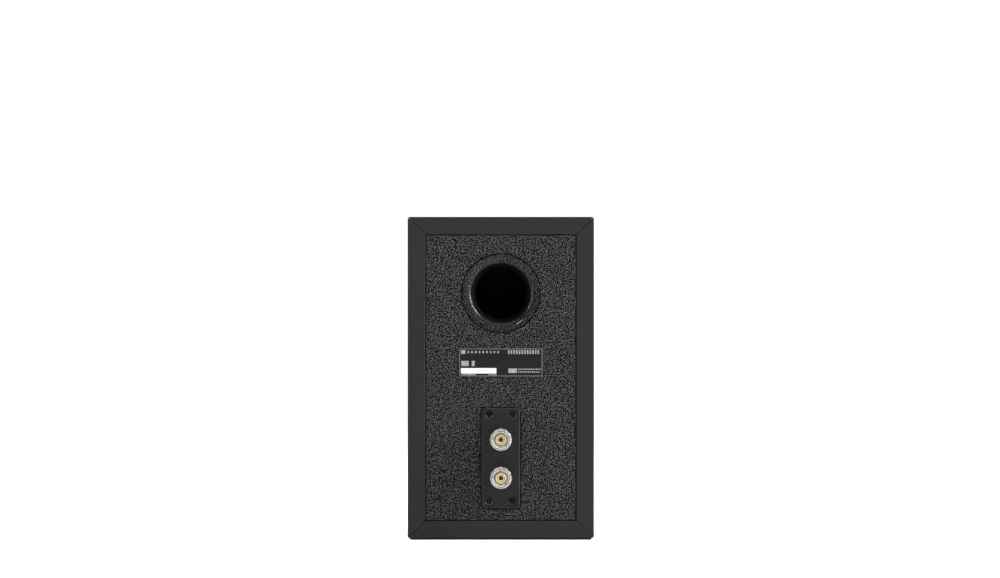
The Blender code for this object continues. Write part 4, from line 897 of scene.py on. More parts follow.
def fibre_finish(name, base):
    """Loose polyester fibre: tangled pale strands over a soft grey depth."""
    finish = Finish(name, Sheen_Weight=0.4, Sheen_Roughness=0.5, Roughness=0.95)
    tree = finish.tree
    strands = 0.0
    lays = (
        ((0.3, 0.9, 0.2), (1.0, 0.12, 1.0)),
        ((1.2, 0.1, 0.7), (0.12, 1.0, 1.0)),
        ((0.5, 1.9, 1.1), (1.0, 1.0, 0.12)),
    )
    for turn, scale in lays:
        lay = {"Vector": finish.place, "Rotation": turn, "Scale": scale}
        drawn = tree.add("ShaderNodeMapping", lay).outputs[0]
        one = tree.ramp(tree.noise(drawn, 700.0, 3.0, 0.6), 0.48, 0.62)
        strands = tree.math("MAXIMUM", strands, one)
    grain = tree.group(fine_grain, vector=finish.place, size=6 * MM)
    ground = tree.mix(grain["Height"], tinted(base, 0.55), tinted(base, 0.85))
    finish.feed("Base Color", tree.mix(strands, ground, tinted(base, 1.25)))
    height = tree.math("MULTIPLY_ADD", strands, 0.3, grain["Height"])
    finish.feed("Normal", finish.bump(height, 0.5 * MM))
    return finish.material


# ---------------------------------------------------------------- cabinet


class SPEAKER_OT_boards(bpy.types.Operator):
    """Four wrapped boards with rounded edges, mitred where they meet"""

    bl_idname = "speaker.boards"
    bl_label = "Cabinet boards"

    def execute(self, context):
        settings = context.scene.speaker_cabinet
        finish = grained_finish(
            "Wrapped vinyl", settings.vinyl_colour, size=0.45 * MM, depth=0.018 * MM, roughness=0.52,
            Specular_IOR_Level=0.3,
        )
        top_low, top_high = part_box("top_panel")
        side_low, side_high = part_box("left_panel")
        wall, near, far = top_high.z - top_low.z, top_low.y, top_high.y
        low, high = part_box("bottom_panel")[0].z, top_high.z
        outer, inner = -side_low.x, -side_high.x
        back = high - side_high.z  # how far a mitre's tip stands back from the corner
        boards = {
            "top_panel": [
                (-outer + back, high), (-inner + back, high - wall),
                (inner - back, high - wall), (outer - back, high),
            ],
            "bottom_panel": [
                (-outer + back, low), (outer - back, low),
                (inner - back, low + wall), (-inner + back, low + wall),
            ],
            "left_panel": [
                (-outer, low + back), (-inner, low + wall + back),
                (-inner, high - wall - back), (-outer, high - back),
            ],
            "right_panel": [
                (outer, low + back), (outer, high - back),
                (inner, high - wall - back), (inner, low + wall + back),
            ],
        }
        skirt = 4 * MM  # the band of each flat end that runs beside its rounded edge
        rim = rounded_path(
            [(skirt, near, 0), (0, near, 0.3 * MM), (0, far, settings.edge_radius), (skirt, far, 0)],
            ends_open=True,
        )
        for name, corners in boards.items():
            skin = Skin((0, 0, 0), REAR)
            skin.cap(skin.bordered(corners, settings.seam_radius, rim, worn=0.3))
            skin.make(f"{name}_wrapped", finish, "cabinet", (name,))
        return {"FINISHED"}


class SPEAKER_OT_rear_panel(bpy.types.Operator):
    """The pebbled panel set between the boards, with the port's rebate and the plate's pocket"""

    bl_idname = "speaker.rear_panel"
    bl_label = "Rear panel"

    def execute(self, context):
        settings = context.scene.speaker_cabinet
        # The wrap is painted black as shade in the plate's pocket and the panel's groove.
        finish = pebbled_finish("Pebbled wrap", settings.panel_colour, settings.pebble_size)
        size, centre = extent("rear_panel"), middle("rear_panel")
        thick, skirt, groove = size[1], 3 * MM, 0.4 * MM
        skin = Skin((0.0, PANEL_FACE, centre[2]), REAR)
        rim = rounded_path(
            [(skirt, -thick, 0), (0, -thick, 0.4 * MM), (0, 0, 0.6 * MM), (skirt, 0, 0)], ends_open=True
        )
        outer = skin.bordered(rectangle(size[0], size[2]), 0.5 * MM, rim, worn=0.3, inwards=groove)

        rim_r, rebate = extent("port_mouth")[0] / 2 + GAP, 3.3 * MM
        hole_r = PORT_COLLAR_R + GAP
        step = rounded_path(
            [
                (rim_r + 1.5 * MM, 0, 0),
                (rim_r, 0, 0.3 * MM),
                (rim_r, -rebate, 0),
                (hole_r, -rebate, 0),
                (hole_r, -thick, 0),
            ],
            ends_open=True,
        )
        port = skin.bored(step, 144, (0.0, PORT_AT[2] - centre[2]))

        plate = extent("terminal_plate")
        plate_at = (0.0, PLATE_AT[2] - centre[2])
        lip = rounded_path([(-1.2 * MM, 0, 0), (0, 0, 0.25 * MM), (0, -PLATE_POCKET, 0)], ends_open=True)
        pocket = rectangle(plate[0] + 2 * GAP, plate[2] + 2 * GAP, plate_at)
        hole = skin.bordered(pocket, PLATE_CORNER_R + GAP, lip)
        window = polygon(rectangle(24 * MM, 62 * MM, plate_at), 4 * MM)
        through = skin.stack([window, window], [-PLATE_POCKET, -thick])
        skin.fill(hole[-1], through[0])
        skin.fill(outer[-1], port[0], hole[0])
        skin.fill(outer[0], port[-1], through[-1])
        skin.make("rear_panel_wrapped", finish, "cabinet", ("rear_panel",))
        return {"FINISHED"}


class SPEAKER_OT_port(bpy.types.Operator):
    """The reflex port: a flared mouth of the panel's own grain, and the tube behind it"""

    bl_idname = "speaker.port"
    bl_label = "Reflex port"

    def execute(self, context):
        settings = context.scene.speaker_port
        cabinet = context.scene.speaker_cabinet
        # The mouth's wrap is painted black as shade from 1.5 to 4 mm deep in its throat.
        mouth_finish = pebbled_finish(
            "Pebbled port", tinted(cabinet.panel_colour, 0.55), cabinet.pebble_size,
            deep=(1.5, 4.0), polish=0.9,
        )
        tube_finish = grained_finish("Moulded duct", settings.colour, roughness=0.55, dust=0.0)
        outline = 0.8 * MM  # the dark line that the rim leaves in the panel's rebate
        rim_r, rim_t = extent("port_mouth")[0] / 2 - outline, 3 * MM
        flare_r, wall = 12 * MM, 2.4 * MM
        mouth_end = PANEL_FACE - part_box("port_mouth")[0].y
        flare = arc((PORT_BORE_R + flare_r, -flare_r), flare_r, 90, 180, 28)
        corners = [
            (rim_r, -rim_t, 0),
            (rim_r, 0, 0.4 * MM),
            *[(r, h, 0) for r, h in flare],
            (PORT_BORE_R, -mouth_end, 0.5 * MM),
            (PORT_BORE_R + wall, -mouth_end, 0.5 * MM),
            (PORT_BORE_R + wall, -13 * MM, 0),
            (PORT_COLLAR_R, -4.5 * MM, 0),
            (PORT_COLLAR_R, -rim_t, 0),
        ]
        ring_piece(
            "port_mouth_flared", "port_mouth", corners, PORT_AT, REAR, mouth_finish,
            sides=settings.sides,
        )
        tube_low, tube_high = (corner.y - PANEL_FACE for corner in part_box("port_tube"))
        socket_r, socket_end = PORT_BORE_R + wall + GAP, -mouth_end - GAP
        flare_r = extent("port_tube")[0] / 2 - PORT_BORE_R
        flare_start = tube_low + flare_r
        flare = arc((PORT_BORE_R + flare_r, flare_start), flare_r, 180, 270, 10)
        corners = [
            (PORT_COLLAR_R, tube_high, 0.4 * MM),
            (socket_r, tube_high, 0.4 * MM),
            (socket_r, socket_end, 0),
            (PORT_BORE_R, socket_end, 0),
            *[(r, h, 0) for r, h in flare],
            (PORT_BORE_R + flare_r, tube_low + 1.5 * MM, 0),
            (PORT_BORE_R + wall + 1 * MM, flare_start, 0),
            (PORT_BORE_R + wall, flare_start + 4 * MM, 0),
            (PORT_BORE_R + wall, socket_end - 3 * MM, 0),
            (PORT_COLLAR_R, socket_end, 0),
        ]
        ring_piece(
            "port_tube_moulded", "port_tube", corners, PORT_AT, REAR, tube_finish,
            sides=settings.sides,
        )
        return {"FINISHED"}


class SPEAKER_OT_label(bpy.types.Operator):
    """The rating label: satin film with a thin border and a generic layout of plain bars"""

    bl_idname = "speaker.label"
    bl_label = "Rating label"

    def execute(self, context):
        size = extent("rating_label")
        finish = label_finish("Label film", LABEL_AT, size[0], size[2])
        skin = Skin(LABEL_AT, REAR)
        skirt, low, high = 1 * MM, 0.05 * MM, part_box("rating_label")[1].y - PANEL_FACE
        rim = rounded_path(
            [(skirt, low, 0), (0, low, 0), (0, high, 0.12 * MM), (skirt, high, 0)], ends_open=True
        )
        skin.cap(skin.bordered(rectangle(size[0], size[2]), 1.2 * MM, rim))
        skin.make("rating_label_film", finish, "cabinet", ("rating_label",))
        return {"FINISHED"}


# ---------------------------------------------------------------- terminals


def places_round(stem, count, at):
    """Where like screws are, from their nodes: name, and across and up from a place."""
    names = [f"{stem}_{n + 1}" for n in range(count)]
    return [(name, middle(name)[0] - at[0], middle(name)[2] - at[2]) for name in names]


class SPEAKER_OT_terminal_plate(bpy.types.Operator):
    """The moulded terminal plate, with four screw recesses and a hole for each post"""

    bl_idname = "speaker.terminal_plate"
    bl_label = "Terminal plate"

    def execute(self, context):
        settings = context.scene.speaker_terminals
        screws = places_round("terminal_screw", 4, PLATE_AT)
        # The plate is painted black as shade inside each screw recess.
        finish = grained_finish(
            "Moulded plate", settings.plate_colour, size=0.4 * MM, depth=0.012 * MM, roughness=0.42,
            wear=0.8, rubbed=3.0, recess_shade_spots=[(x, 0.0, z + PLATE_AT[2]) for _, x, z in screws],
            recess_shade_r=4.75 * MM, Specular_IOR_Level=0.3,
        )
        size = extent("terminal_plate")
        low, high = (corner.y - PANEL_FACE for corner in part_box("terminal_plate"))
        skin = Skin(PLATE_AT, REAR)
        skirt, outline = 2.5 * MM, 0.5 * MM
        rim = rounded_path(
            [(skirt, low, 0), (0, low, 0.2 * MM), (0, high, settings.plate_edge), (skirt, high, 0)],
            ends_open=True,
        )
        outer = skin.bordered(rectangle(size[0], size[2]), PLATE_CORNER_R, rim, inwards=outline)
        recess_r, screw_r, floor = 4.2 * MM, 1.9 * MM, -0.3 * MM
        recess = rounded_path(
            [
                (recess_r + 0.7 * MM, high, 0),
                (recess_r, high, 0.3 * MM),
                (recess_r, floor, 0.2 * MM),
                (screw_r, floor, 0),
                (screw_r, low, 0),
            ],
            ends_open=True,
            crease=0.15 * MM,
        )
        hole = rounded_path(
            [(POST_HOLE_R + 0.7 * MM, high, 0), (POST_HOLE_R, high, 0.2 * MM), (POST_HOLE_R, low, 0)],
            ends_open=True,
        )
        bores = [skin.bored(recess, 48, (x, z)) for _, x, z in screws]
        bores += [skin.bored(hole, 48, (0, at[2] - PLATE_AT[2])) for at in POSTS_AT.values()]
        skin.fill(outer[-1], *[rings[0] for rings in bores])
        skin.fill(outer[0], *[rings[-1] for rings in bores])
        skin.make("terminal_plate_moulded", finish, "cabinet", ("terminal_plate",))
        return {"FINISHED"}


def screw_piece(name, at, facing, finish, head_r, low, high, shank_r, tip, drive, turn=0.0):
    """A pan-head screw. The head's top is a height field on a polar grid: a shallow dome less the
    drive's recess, and below it the same rings run down the side, under the head and to the tip."""
    sides, rows = 96, 26
    skin = Skin(at, facing)
    edge = min(0.45 * MM, 0.4 * (high - low))
    radius = np.linspace(0, head_r - edge, rows)[:, None]
    angle = (np.arange(sides) * TURN / sides)[None]
    crown = 0.25 * (high - low)
    across, up = radius * np.cos(angle + turn), radius * np.sin(angle + turn)
    height = high - crown * (radius / head_r) ** 2 - drive(across, up)
    skin_angle = np.broadcast_to(angle, height.shape)
    top = skin.lift(radius * np.cos(skin_angle), radius * np.sin(skin_angle), height)
    corners = [
        (head_r - edge, high - crown * ((head_r - edge) / head_r) ** 2, 0),
        (head_r, high - crown, edge * 0.8),
        (head_r, low, 0.15 * MM),
        (shank_r, low, 0),
        (shank_r, tip + 1.5 * MM, 0),
        (0.2 * MM, tip, 0),
        (0, tip, 0),
    ]
    path, wear = rounded_path(corners, ends_open=True, crease=0.05 * MM)
    radius_down, height_down = path[1:, :1], path[1:, 1:]
    side = skin.lift(radius_down * np.cos(angle), radius_down * np.sin(angle), height_down)
    flank = np.hypot(*np.gradient(drive(across, up), axis=(0, 1)))
    scuffed = 0.5 * smooth_step(flank, 0.08 * MM, 0.25 * MM)
    rubbed = np.concatenate([scuffed, np.repeat(wear[1:, None], sides, 1)])
    skin.sheet(np.concatenate([top, side]), rubbed)
    return skin.make(name + "_turned", finish, "cabinet", (name,))


def cross_drive(half_width, half_length, depth):
    """A cross recess whose arms get shallower towards their ends."""

    def drop(across, up):
        soft = 0.14 * MM
        arms = []
        for a, b in ((across, up), (up, across)):
            arm = smooth_step(half_width - np.abs(a), -soft, soft) * smooth_step(
                half_length - np.abs(b), -soft, 3 * soft
            )
            arms.append(arm)
        fall = 1 - 0.45 * np.clip(np.hypot(across, up) / half_length, 0, 1)
        return depth * np.maximum(*arms) * fall

    return drop


def hex_drive(across_flats, depth):
    """A six-sided socket: the distance to the nearest flat decides what is inside it."""

    def drop(across, up):
        flats = [np.abs(across * math.cos(a) + up * math.sin(a)) for a in (0, math.pi / 3, 2 * math.pi / 3)]
        return depth * smooth_step(across_flats / 2 - np.maximum.reduce(flats), -0.08 * MM, 0.08 * MM)

    return drop


class SPEAKER_OT_plate_screws(bpy.types.Operator):
    """Four cross-recess screws, sunk in the terminal plate"""

    bl_idname = "speaker.plate_screws"
    bl_label = "Plate screws"

    def execute(self, context):
        finish = steel_finish()
        drive = cross_drive(0.5 * MM, 1.8 * MM, 0.9 * MM)
        head_r, head_t, shank_r = 3.6 * MM, 1.3 * MM, 1.6 * MM
        turns = (20, 64, 5, 41)  # how each screw's cross was left, in degrees
        for turn, (name, x, z) in zip(turns, places_round("terminal_screw", 4, PLATE_AT)):
            tip, top = (corner.y - PANEL_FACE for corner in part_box(name))
            screw_piece(
                name, (x, PANEL_FACE, z + PLATE_AT[2]), REAR, finish, head_r, top - head_t, top, shank_r,
                tip, drive, turn=math.radians(turn),
            )
        return {"FINISHED"}


def steel_finish():
    """Black-oxide steel, shared by every screw."""
    found = bpy.data.materials.get("Blackened steel")
    if found:
        return found
    finish = Finish("Blackened steel", Metallic=1.0)
    tree = finish.tree
    grain = tree.group(fine_grain, vector=finish.place, size=0.25 * MM)
    worn = tree.group(edge_wear, vector=finish.place, amount=0.8)["Mask"]
    tone = tree.mix(grain["Drift"], (0.006, 0.006, 0.007), (0.014, 0.014, 0.015))
    finish.feed("Base Color", tree.mix(worn, tone, (0.90, 0.90, 0.91)))
    finish.feed("Roughness", tree.ramp(grain["Height"], 0.3, 0.7, 0.12, 0.24))
    finish.feed("Normal", finish.bump(grain["Height"], 0.006 * MM))
    return finish.material


def facetted(facets):
    """A radius that follows a polygon's flats with softened corners: r cos(half facet) / cos(angle
    from the flat's middle), held back near each corner. Only the outer skin of a knob is facetted."""

    def radius_at(radius, angle):
        step = TURN / facets
        from_flat = np.mod(angle, step) - step / 2
        flat = math.cos(step / 2) / np.cos(from_flat)
        softened = np.minimum(flat, 0.992) - 0.010 * np.cos(from_flat * facets / 2) ** 6
        amount = smooth_step(radius, 8.0 * MM, 9.0 * MM)
        return radius * (1 + amount * (softened - 1))

    return radius_at


class SPEAKER_OT_posts(bpy.types.Operator):
    """Two binding posts: collar, clamping washer, threaded stud, gold sleeve and clear facetted knob"""

    bl_idname = "speaker.posts"
    bl_label = "Binding posts"

    def execute(self, context):
        settings = context.scene.speaker_terminals
        collars = {"positive": (0.36, 0.012, 0.012), "negative": tuple(settings.plate_colour)}
        clear = clear_finish(tuple(settings.knob_colour))
        for polarity, at in POSTS_AT.items():
            gold = metal_finish(
                f"Gold plate {polarity}", settings.gold_colour, at, bore_r=2.3 * MM, face_r=4.95 * MM
            )
            face = face_finish(f"Moulded face {polarity}", tuple(settings.knob_colour), at)
            collar = grained_finish(
                f"Collar {polarity}", collars[polarity], size=0.4 * MM, roughness=0.36, dust=0.02
            )
            self.collar(polarity, at, collar)
            self.washer(polarity, at, gold)
            self.stud(polarity, at, gold)
            self.sleeve(polarity, at, gold)
            self.knob(polarity, at, face, clear, settings.facets)
        return {"FINISHED"}

    def collar(self, polarity, at, finish):
        node = f"{polarity}_collar"
        outer, low, high = turned_size(node, at, REAR)
        corners = [
            (POST_HOLE_R, low, 0.2 * MM),
            (outer, low, 0.2 * MM),
            (outer, high - 0.7 * MM, 0.3 * MM),
            (outer - 0.6 * MM, high, 0.3 * MM),
            (POST_HOLE_R + 0.7 * MM, high, 0.2 * MM),
            (POST_HOLE_R, high - 0.5 * MM, 0.2 * MM),
        ]
        ring_piece(f"{node}_moulded", node, corners, at, REAR, finish)

    def washer(self, polarity, at, finish):
        body = f"{polarity}_clamp"
        node = f"{body}_washer"
        outer, low, high = turned_size(node, at, REAR)
        corners = [
            (POST_HOLE_R, low, 0.15 * MM),
            (outer, low, 0.25 * MM),
            (outer, high, 0.25 * MM),
            (POST_HOLE_R, high, 0.15 * MM),
        ]
        ring_piece(f"{polarity}_washer_turned", node, corners, at, REAR, finish, body)

    def stud(self, polarity, at, finish):
        """The shank's radius falls by the thread's depth where height / pitch - angle / turn is halfway
        between crests, and the thread fades out at both ends."""
        skin = Skin(at, REAR)
        sides, rows = 64, 340
        shank_r, pitch, deep = 3.55 * MM, 1 * MM, 0.32 * MM
        mouth_r, socket_r, socket_end, drill_end = 2.45 * MM, 2.0 * MM, 10.5 * MM, 9.6 * MM
        _, low, tip = turned_size(f"{polarity}_stud", at, REAR)
        high, start = tip - 0.8 * MM, low + 0.4 * MM
        angle = (np.arange(sides) * TURN / sides)[None]
        height = np.linspace(start, high, rows)[:, None]
        phase = np.mod(height / pitch - angle / TURN, 1.0)
        groove = 1 - np.abs(2 * phase - 1)
        fade = smooth_step(height, start, start + 1 * MM) * smooth_step(high - height, 0, 0.8 * MM)
        radius = shank_r - deep * smooth_step(groove, 0.15, 0.9) * fade
        foot = rounded_path([(0, low, 0), (3.2 * MM, low, 0)], ends_open=True)[0]
        mouth, mouth_wear = rounded_path(
            [
                (shank_r, tip - 0.65 * MM, 0),
                (shank_r - 0.4 * MM, tip, 0.12 * MM),
                (mouth_r, tip, 0.12 * MM),
                (socket_r, tip - 0.6 * MM, 0),
                (socket_r, socket_end, 0),
                (0, drill_end, 0),
            ],
            ends_open=True,
            crease=0.05 * MM,
        )

        def swept(r, h):
            return skin.lift(r * np.cos(angle), r * np.sin(angle), h)

        shank = swept(radius, height)
        grid = [swept(foot[:, :1], foot[:, 1:]), shank, swept(mouth[:, :1], mouth[:, 1:])]
        worn = np.concatenate([np.zeros(len(foot) + rows), mouth_wear])
        skin.sheet(np.concatenate(grid), worn)
        skin.make(f"{polarity}_stud_threaded", finish, "cabinet", (f"{polarity}_stud",))

    def sleeve(self, polarity, at, finish):
        body = f"{polarity}_knob"
        node = f"{body}_insert"
        outer, low, high = turned_size(node, at, REAR)
        shoulder, lip_r = high - 1.1 * MM, POST_HOLE_R + 1.05 * MM
        corners = [
            (POST_HOLE_R, low, 0.1 * MM),
            (outer, low, 0.15 * MM),
            (outer, shoulder - 0.9 * MM, 0.2 * MM),
            (outer - 0.9 * MM, shoulder, 0.15 * MM),
            (lip_r, shoulder, 0),
            (lip_r - 0.1 * MM, high, 0.25 * MM),
            (POST_HOLE_R, high, 0.15 * MM),
        ]
        ring_piece(f"{polarity}_sleeve_turned", node, corners, at, REAR, finish, body)

    def knob(self, polarity, at, face, clear, facets):
        node = f"{polarity}_knob"
        outer, low, high = turned_size(node, at, REAR)
        outer += 0.2 * MM  # the flats' corners stand a little proud of the solid
        bore, step, face_start = 6.5 * MM, high - 0.5 * MM, high - 0.9 * MM
        corners = [
            (bore, low, 0.2 * MM),
            (outer - 1 * MM, low, 0),
            (outer, low + 0.6 * MM, 0.4 * MM),
            (outer, high - 1.1 * MM, 0.5 * MM),
            (outer - 1 * MM, high, 0.4 * MM),
            (outer - 2.3 * MM, high, 0.2 * MM),
            (outer - 2.7 * MM, step, 0.2 * MM),
            (bore + 0.6 * MM, step, 0.2 * MM),
            (bore, face_start, 0.2 * MM),
        ]
        skin = Skin(at, REAR)
        path, wear = rounded_path(corners, crease=0.3 * MM)
        skin.turned(path, wear, sides=240, ring=True, radius_at=facetted(facets))
        piece = skin.make(f"{node}_clear", face, node, (node,))
        piece.data.materials.append(clear)
        centres = np.empty(len(piece.data.polygons) * 3)
        piece.data.polygons.foreach_get("center", centres)
        below_face = centres[1::3] < at[1] + face_start
        piece.data.polygons.foreach_set("material_index", below_face.astype(np.int32))


# ---------------------------------------------------------------- base


class SPEAKER_OT_base_pad(bpy.types.Operator):
    """The thin rubber pad under the box"""

    bl_idname = "speaker.base_pad"
    bl_label = "Base pad"

    def execute(self, context):
        finish = grained_finish(
            "Pad rubber", (0.006, 0.006, 0.006), size=0.9 * MM, depth=0.05 * MM, roughness=0.8,
            Specular_IOR_Level=0.15,
        )
        size, centre = extent("base_pad"), middle("base_pad")
        skirt, high = 2 * MM, 1.45 * MM  # the top stays just under the box
        rim = rounded_path(
            [(skirt, 0, 0), (0, 0, 0.2 * MM), (0, high, 0.2 * MM), (skirt, high, 0)], ends_open=True
        )
        skin = Skin((centre[0], centre[1], 0), UPWARD)
        skin.cap(skin.bordered(rectangle(size[0], size[1]), 2 * MM, rim))
        skin.make("base_pad_rubber", finish, "cabinet", ("base_pad",))
        return {"FINISHED"}


# ---------------------------------------------------------------- baffle and drivers


class SPEAKER_OT_baffle(bpy.types.Operator):
    """The lacquered baffle with rounded front edges and a stepped hole for each driver"""

    bl_idname = "speaker.baffle"
    bl_label = "Front baffle"

    def execute(self, context):
        settings = context.scene.speaker_cabinet
        finish = lacquer_finish("Baffle lacquer", (0.0085, 0.0085, 0.009))
        size, centre = extent("front_baffle"), middle("front_baffle")
        thick, skirt = size[1], 8 * MM
        skin = Skin((0.0, BAFFLE_FACE, centre[2]), FRONT)
        rim = rounded_path(
            [(skirt, -thick, 0), (0, -thick, 0.4 * MM), (0, 0, settings.baffle_radius), (skirt, 0, 0)],
            steps=9,
            ends_open=True,
        )
        outer = skin.bordered(rectangle(size[0], size[2]), 1.5 * MM, rim, worn=0.5)
        holes = (
            (WOOFER_AT, 73.3 * MM, 5.0 * MM, 60.3 * MM),
            (TWEETER_AT, 48.3 * MM, 4.0 * MM, 36.3 * MM),
        )
        bores = []
        for at, wide, depth, narrow in holes:
            step = rounded_path(
                [
                    (wide + 1.5 * MM, 0, 0),
                    (wide, 0, 0.35 * MM),
                    (wide, -depth, 0),
                    (narrow, -depth, 0),
                    (narrow, -thick, 0),
                ],
                ends_open=True,
            )
            bores.append(skin.bored(step, 144, (0, at[2] - centre[2]), worn=0.5))
        skin.fill(outer[-1], *[rings[0] for rings in bores])
        skin.fill(outer[0], *[rings[-1] for rings in bores])
        skin.make("front_baffle_lacquered", finish, "cabinet", ("front_baffle",))
        return {"FINISHED"}


class SPEAKER_OT_woofer_frame(bpy.types.Operator):
    """The woofer's cast basket: a flange with four screw recesses, five arms and a seat for the motor"""

    bl_idname = "speaker.woofer_frame"
    bl_label = "Woofer frame"

    def execute(self, context):
        cast = grained_finish(
            "Cast frame", (0.030, 0.030, 0.0315), size=0.7 * MM, depth=0.03 * MM, roughness=0.46, wear=0.6,
            dust=0.02,
        )
        skin = Skin(WOOFER_AT, FRONT)
        flange = np.array([
            (72.2, -0.2, 0), (73.0, -0.2, 0.25), (73.0, -4.7, 0.3), (60.0, -4.7, 0.4), (60.0, -7.4, 0),
            (55.7, -12.9, 0.3), (55.7, -7.9, 0), (57.2, -6.0, 0.3), (57.2, -2.9, 0.2), (64.3, -2.9, 0),
            (64.3, -0.2, 0.15), (64.9, -0.2, 0),
        ]) * MM
        rings = skin.bored(rounded_path(flange, ends_open=True, crease=0.05 * MM), 144)
        recess = np.array([
            (4.0, -0.2, 0), (3.7, -0.2, 0.12), (3.7, -2.4, 0), (2.05, -2.4, 0), (2.05, -4.2, 0), (0, -4.2, 0),
        ]) * MM
        recess = rounded_path(recess, ends_open=True, crease=0.04 * MM)
        recess[0][0, 0] = 3.88 * MM  # close round the recess, as the flange's face is narrow
        screws = places_round("woofer_screw", 4, WOOFER_AT)
        skin.fill(rings[0], rings[-1], *[skin.bored(recess, 40, (x, z))[0] for _, x, z in screws])
        seat = np.array([
            (38.0, -30.0, 0.3), (33.5, -30.0, 0.3), (33.5, -37.0, 0.3), (21.3, -37.0, 0.3),
            (21.3, -39.5, 0.3), (40.0, -39.5, 0.5), (40.0, -32.8, 0.5), (43.0, -29.0, 0.3),
            (43.0, -23.8, 0.3),
        ]) * MM
        skin.turned(*rounded_path(seat), sides=96, ring=True)
        for number in range(5):
            self.arm(skin, math.radians(126 + 72 * number))
        skin.make("woofer_basket_cast", cast, "cabinet", ("woofer_basket",))
        trim = np.array([(57.8, -1.7, 0.1), (64.0, -1.7, 0.1), (64.0, 0.0, 0.4), (57.8, 0.0, 0.6)]) * MM
        rubber = rubber_finish("Trim rubber", context.scene.speaker_drivers.rubber_colour, WOOFER_AT)
        ring_piece("woofer_trim_moulded", "woofer_trim_ring", trim, WOOFER_AT, FRONT, rubber)
        return {"FINISHED"}

    def arm(self, skin, around_axis):
        """A rounded bar carried down the basket's cone: each row is the section (w, t) set at
        (r + t n_r, w, h + t n_h) and turned to the arm's angle, and it narrows towards the seat."""
        along = np.linspace(0, 1, 9)[:, None]
        radius = (58.2 + (40.8 - 58.2) * along) * MM
        height = (-8.4 + (-28.4 + 8.4) * along) * MM
        section = polygon(rectangle(1.0, 2.8 * MM), 0.5 * MM)
        width = (21.0 - 6.0 * along) * MM
        w, t = section[None, :, 0] * width, section[None, :, 1]
        normal = np.array([0.78, -0.62])
        r, h = radius + t * normal[0], height + t * normal[1]
        across = r * math.cos(around_axis) - w * math.sin(around_axis)
        up = r * math.sin(around_axis) + w * math.cos(around_axis)
        skin.cap(skin.sheet(skin.lift(across, up, h)))


def cap_section(radius, rise, thickness, base, steps):
    """A spherical cap of even thickness, from the axis out to its rim and back to the axis. Its ball's
    radius is (radius squared + rise squared) / (2 rise)."""
    ball = (radius**2 + rise**2) / (2 * rise)
    centre = base + rise - ball
    rim = math.degrees(math.asin(radius / ball))
    outer = arc((0, centre), ball, 90, 90 - rim, steps)
    inner = arc((0, centre), ball - thickness, 90 - rim, 90, steps)
    outer[0, 0] = inner[-1, 0] = 0.0
    return np.concatenate([outer, inner])


def bend_between(piece):
    """Bakes the piece's placement into its mesh and reads its points. It does not bend the piece between
    the still body and the moving body."""
    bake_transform(piece)
    points = np.empty(len(piece.data.vertices) * 3)
    piece.data.vertices.foreach_get("co", points)
    points = points.reshape(-1, 3)


class SPEAKER_OT_woofer_cone(bpy.types.Operator):
    """The woofer's cone, dust cap and voice coil, which move together"""

    bl_idname = "speaker.woofer_cone"
    bl_label = "Woofer cone"

    def execute(self, context):
        settings = context.scene.speaker_drivers
        paper = paper_finish("Cone paper", settings.cone_colour, WOOFER_AT)
        along = np.linspace(0, 1, 33)
        neck_r, neck_h, rim_r, rim_h = 13.7 * MM, -25 * MM, 45.5 * MM, -2.9 * MM
        edge_r, thick = 48.5 * MM, 0.8 * MM
        radius = neck_r + (rim_r - neck_r) * along
        height = neck_h + (rim_h - neck_h) * (along + 0.18 * along * (1 - along))
        front = np.stack([radius, height, 0 * along], 1)
        behind = front[::-1] - (0, thick, 0)
        edge = [(edge_r, rim_h, 0.2 * MM), (edge_r, rim_h - thick, 0.2 * MM)]
        section = np.concatenate([front, edge, behind])
        body = "woofer_diaphragm"
        ring_piece(
            "woofer_cone_pressed", "woofer_cone", section, WOOFER_AT, FRONT, paper, body
        )
        skin = Skin(WOOFER_AT, FRONT)
        skin.turned(cap_section(17.5 * MM, 5.5 * MM, 0.7 * MM, -21.35 * MM, 16), sides=settings.sides)
        skin.make("woofer_dust_cap_pressed", paper, body, ("woofer_dust_cap",))
        coil = np.array([(12.45, -50, 0.1), (13.3, -50, 0.1), (13.3, -24, 0.1), (12.45, -24, 0.1)]) * MM
        wire = coil_finish("Woofer coil", 1, 0.32 * MM)
        ring_piece(
            "woofer_voice_coil_wound", "woofer_voice_coil", coil, WOOFER_AT, FRONT, wire, body
        )
        return {"FINISHED"}


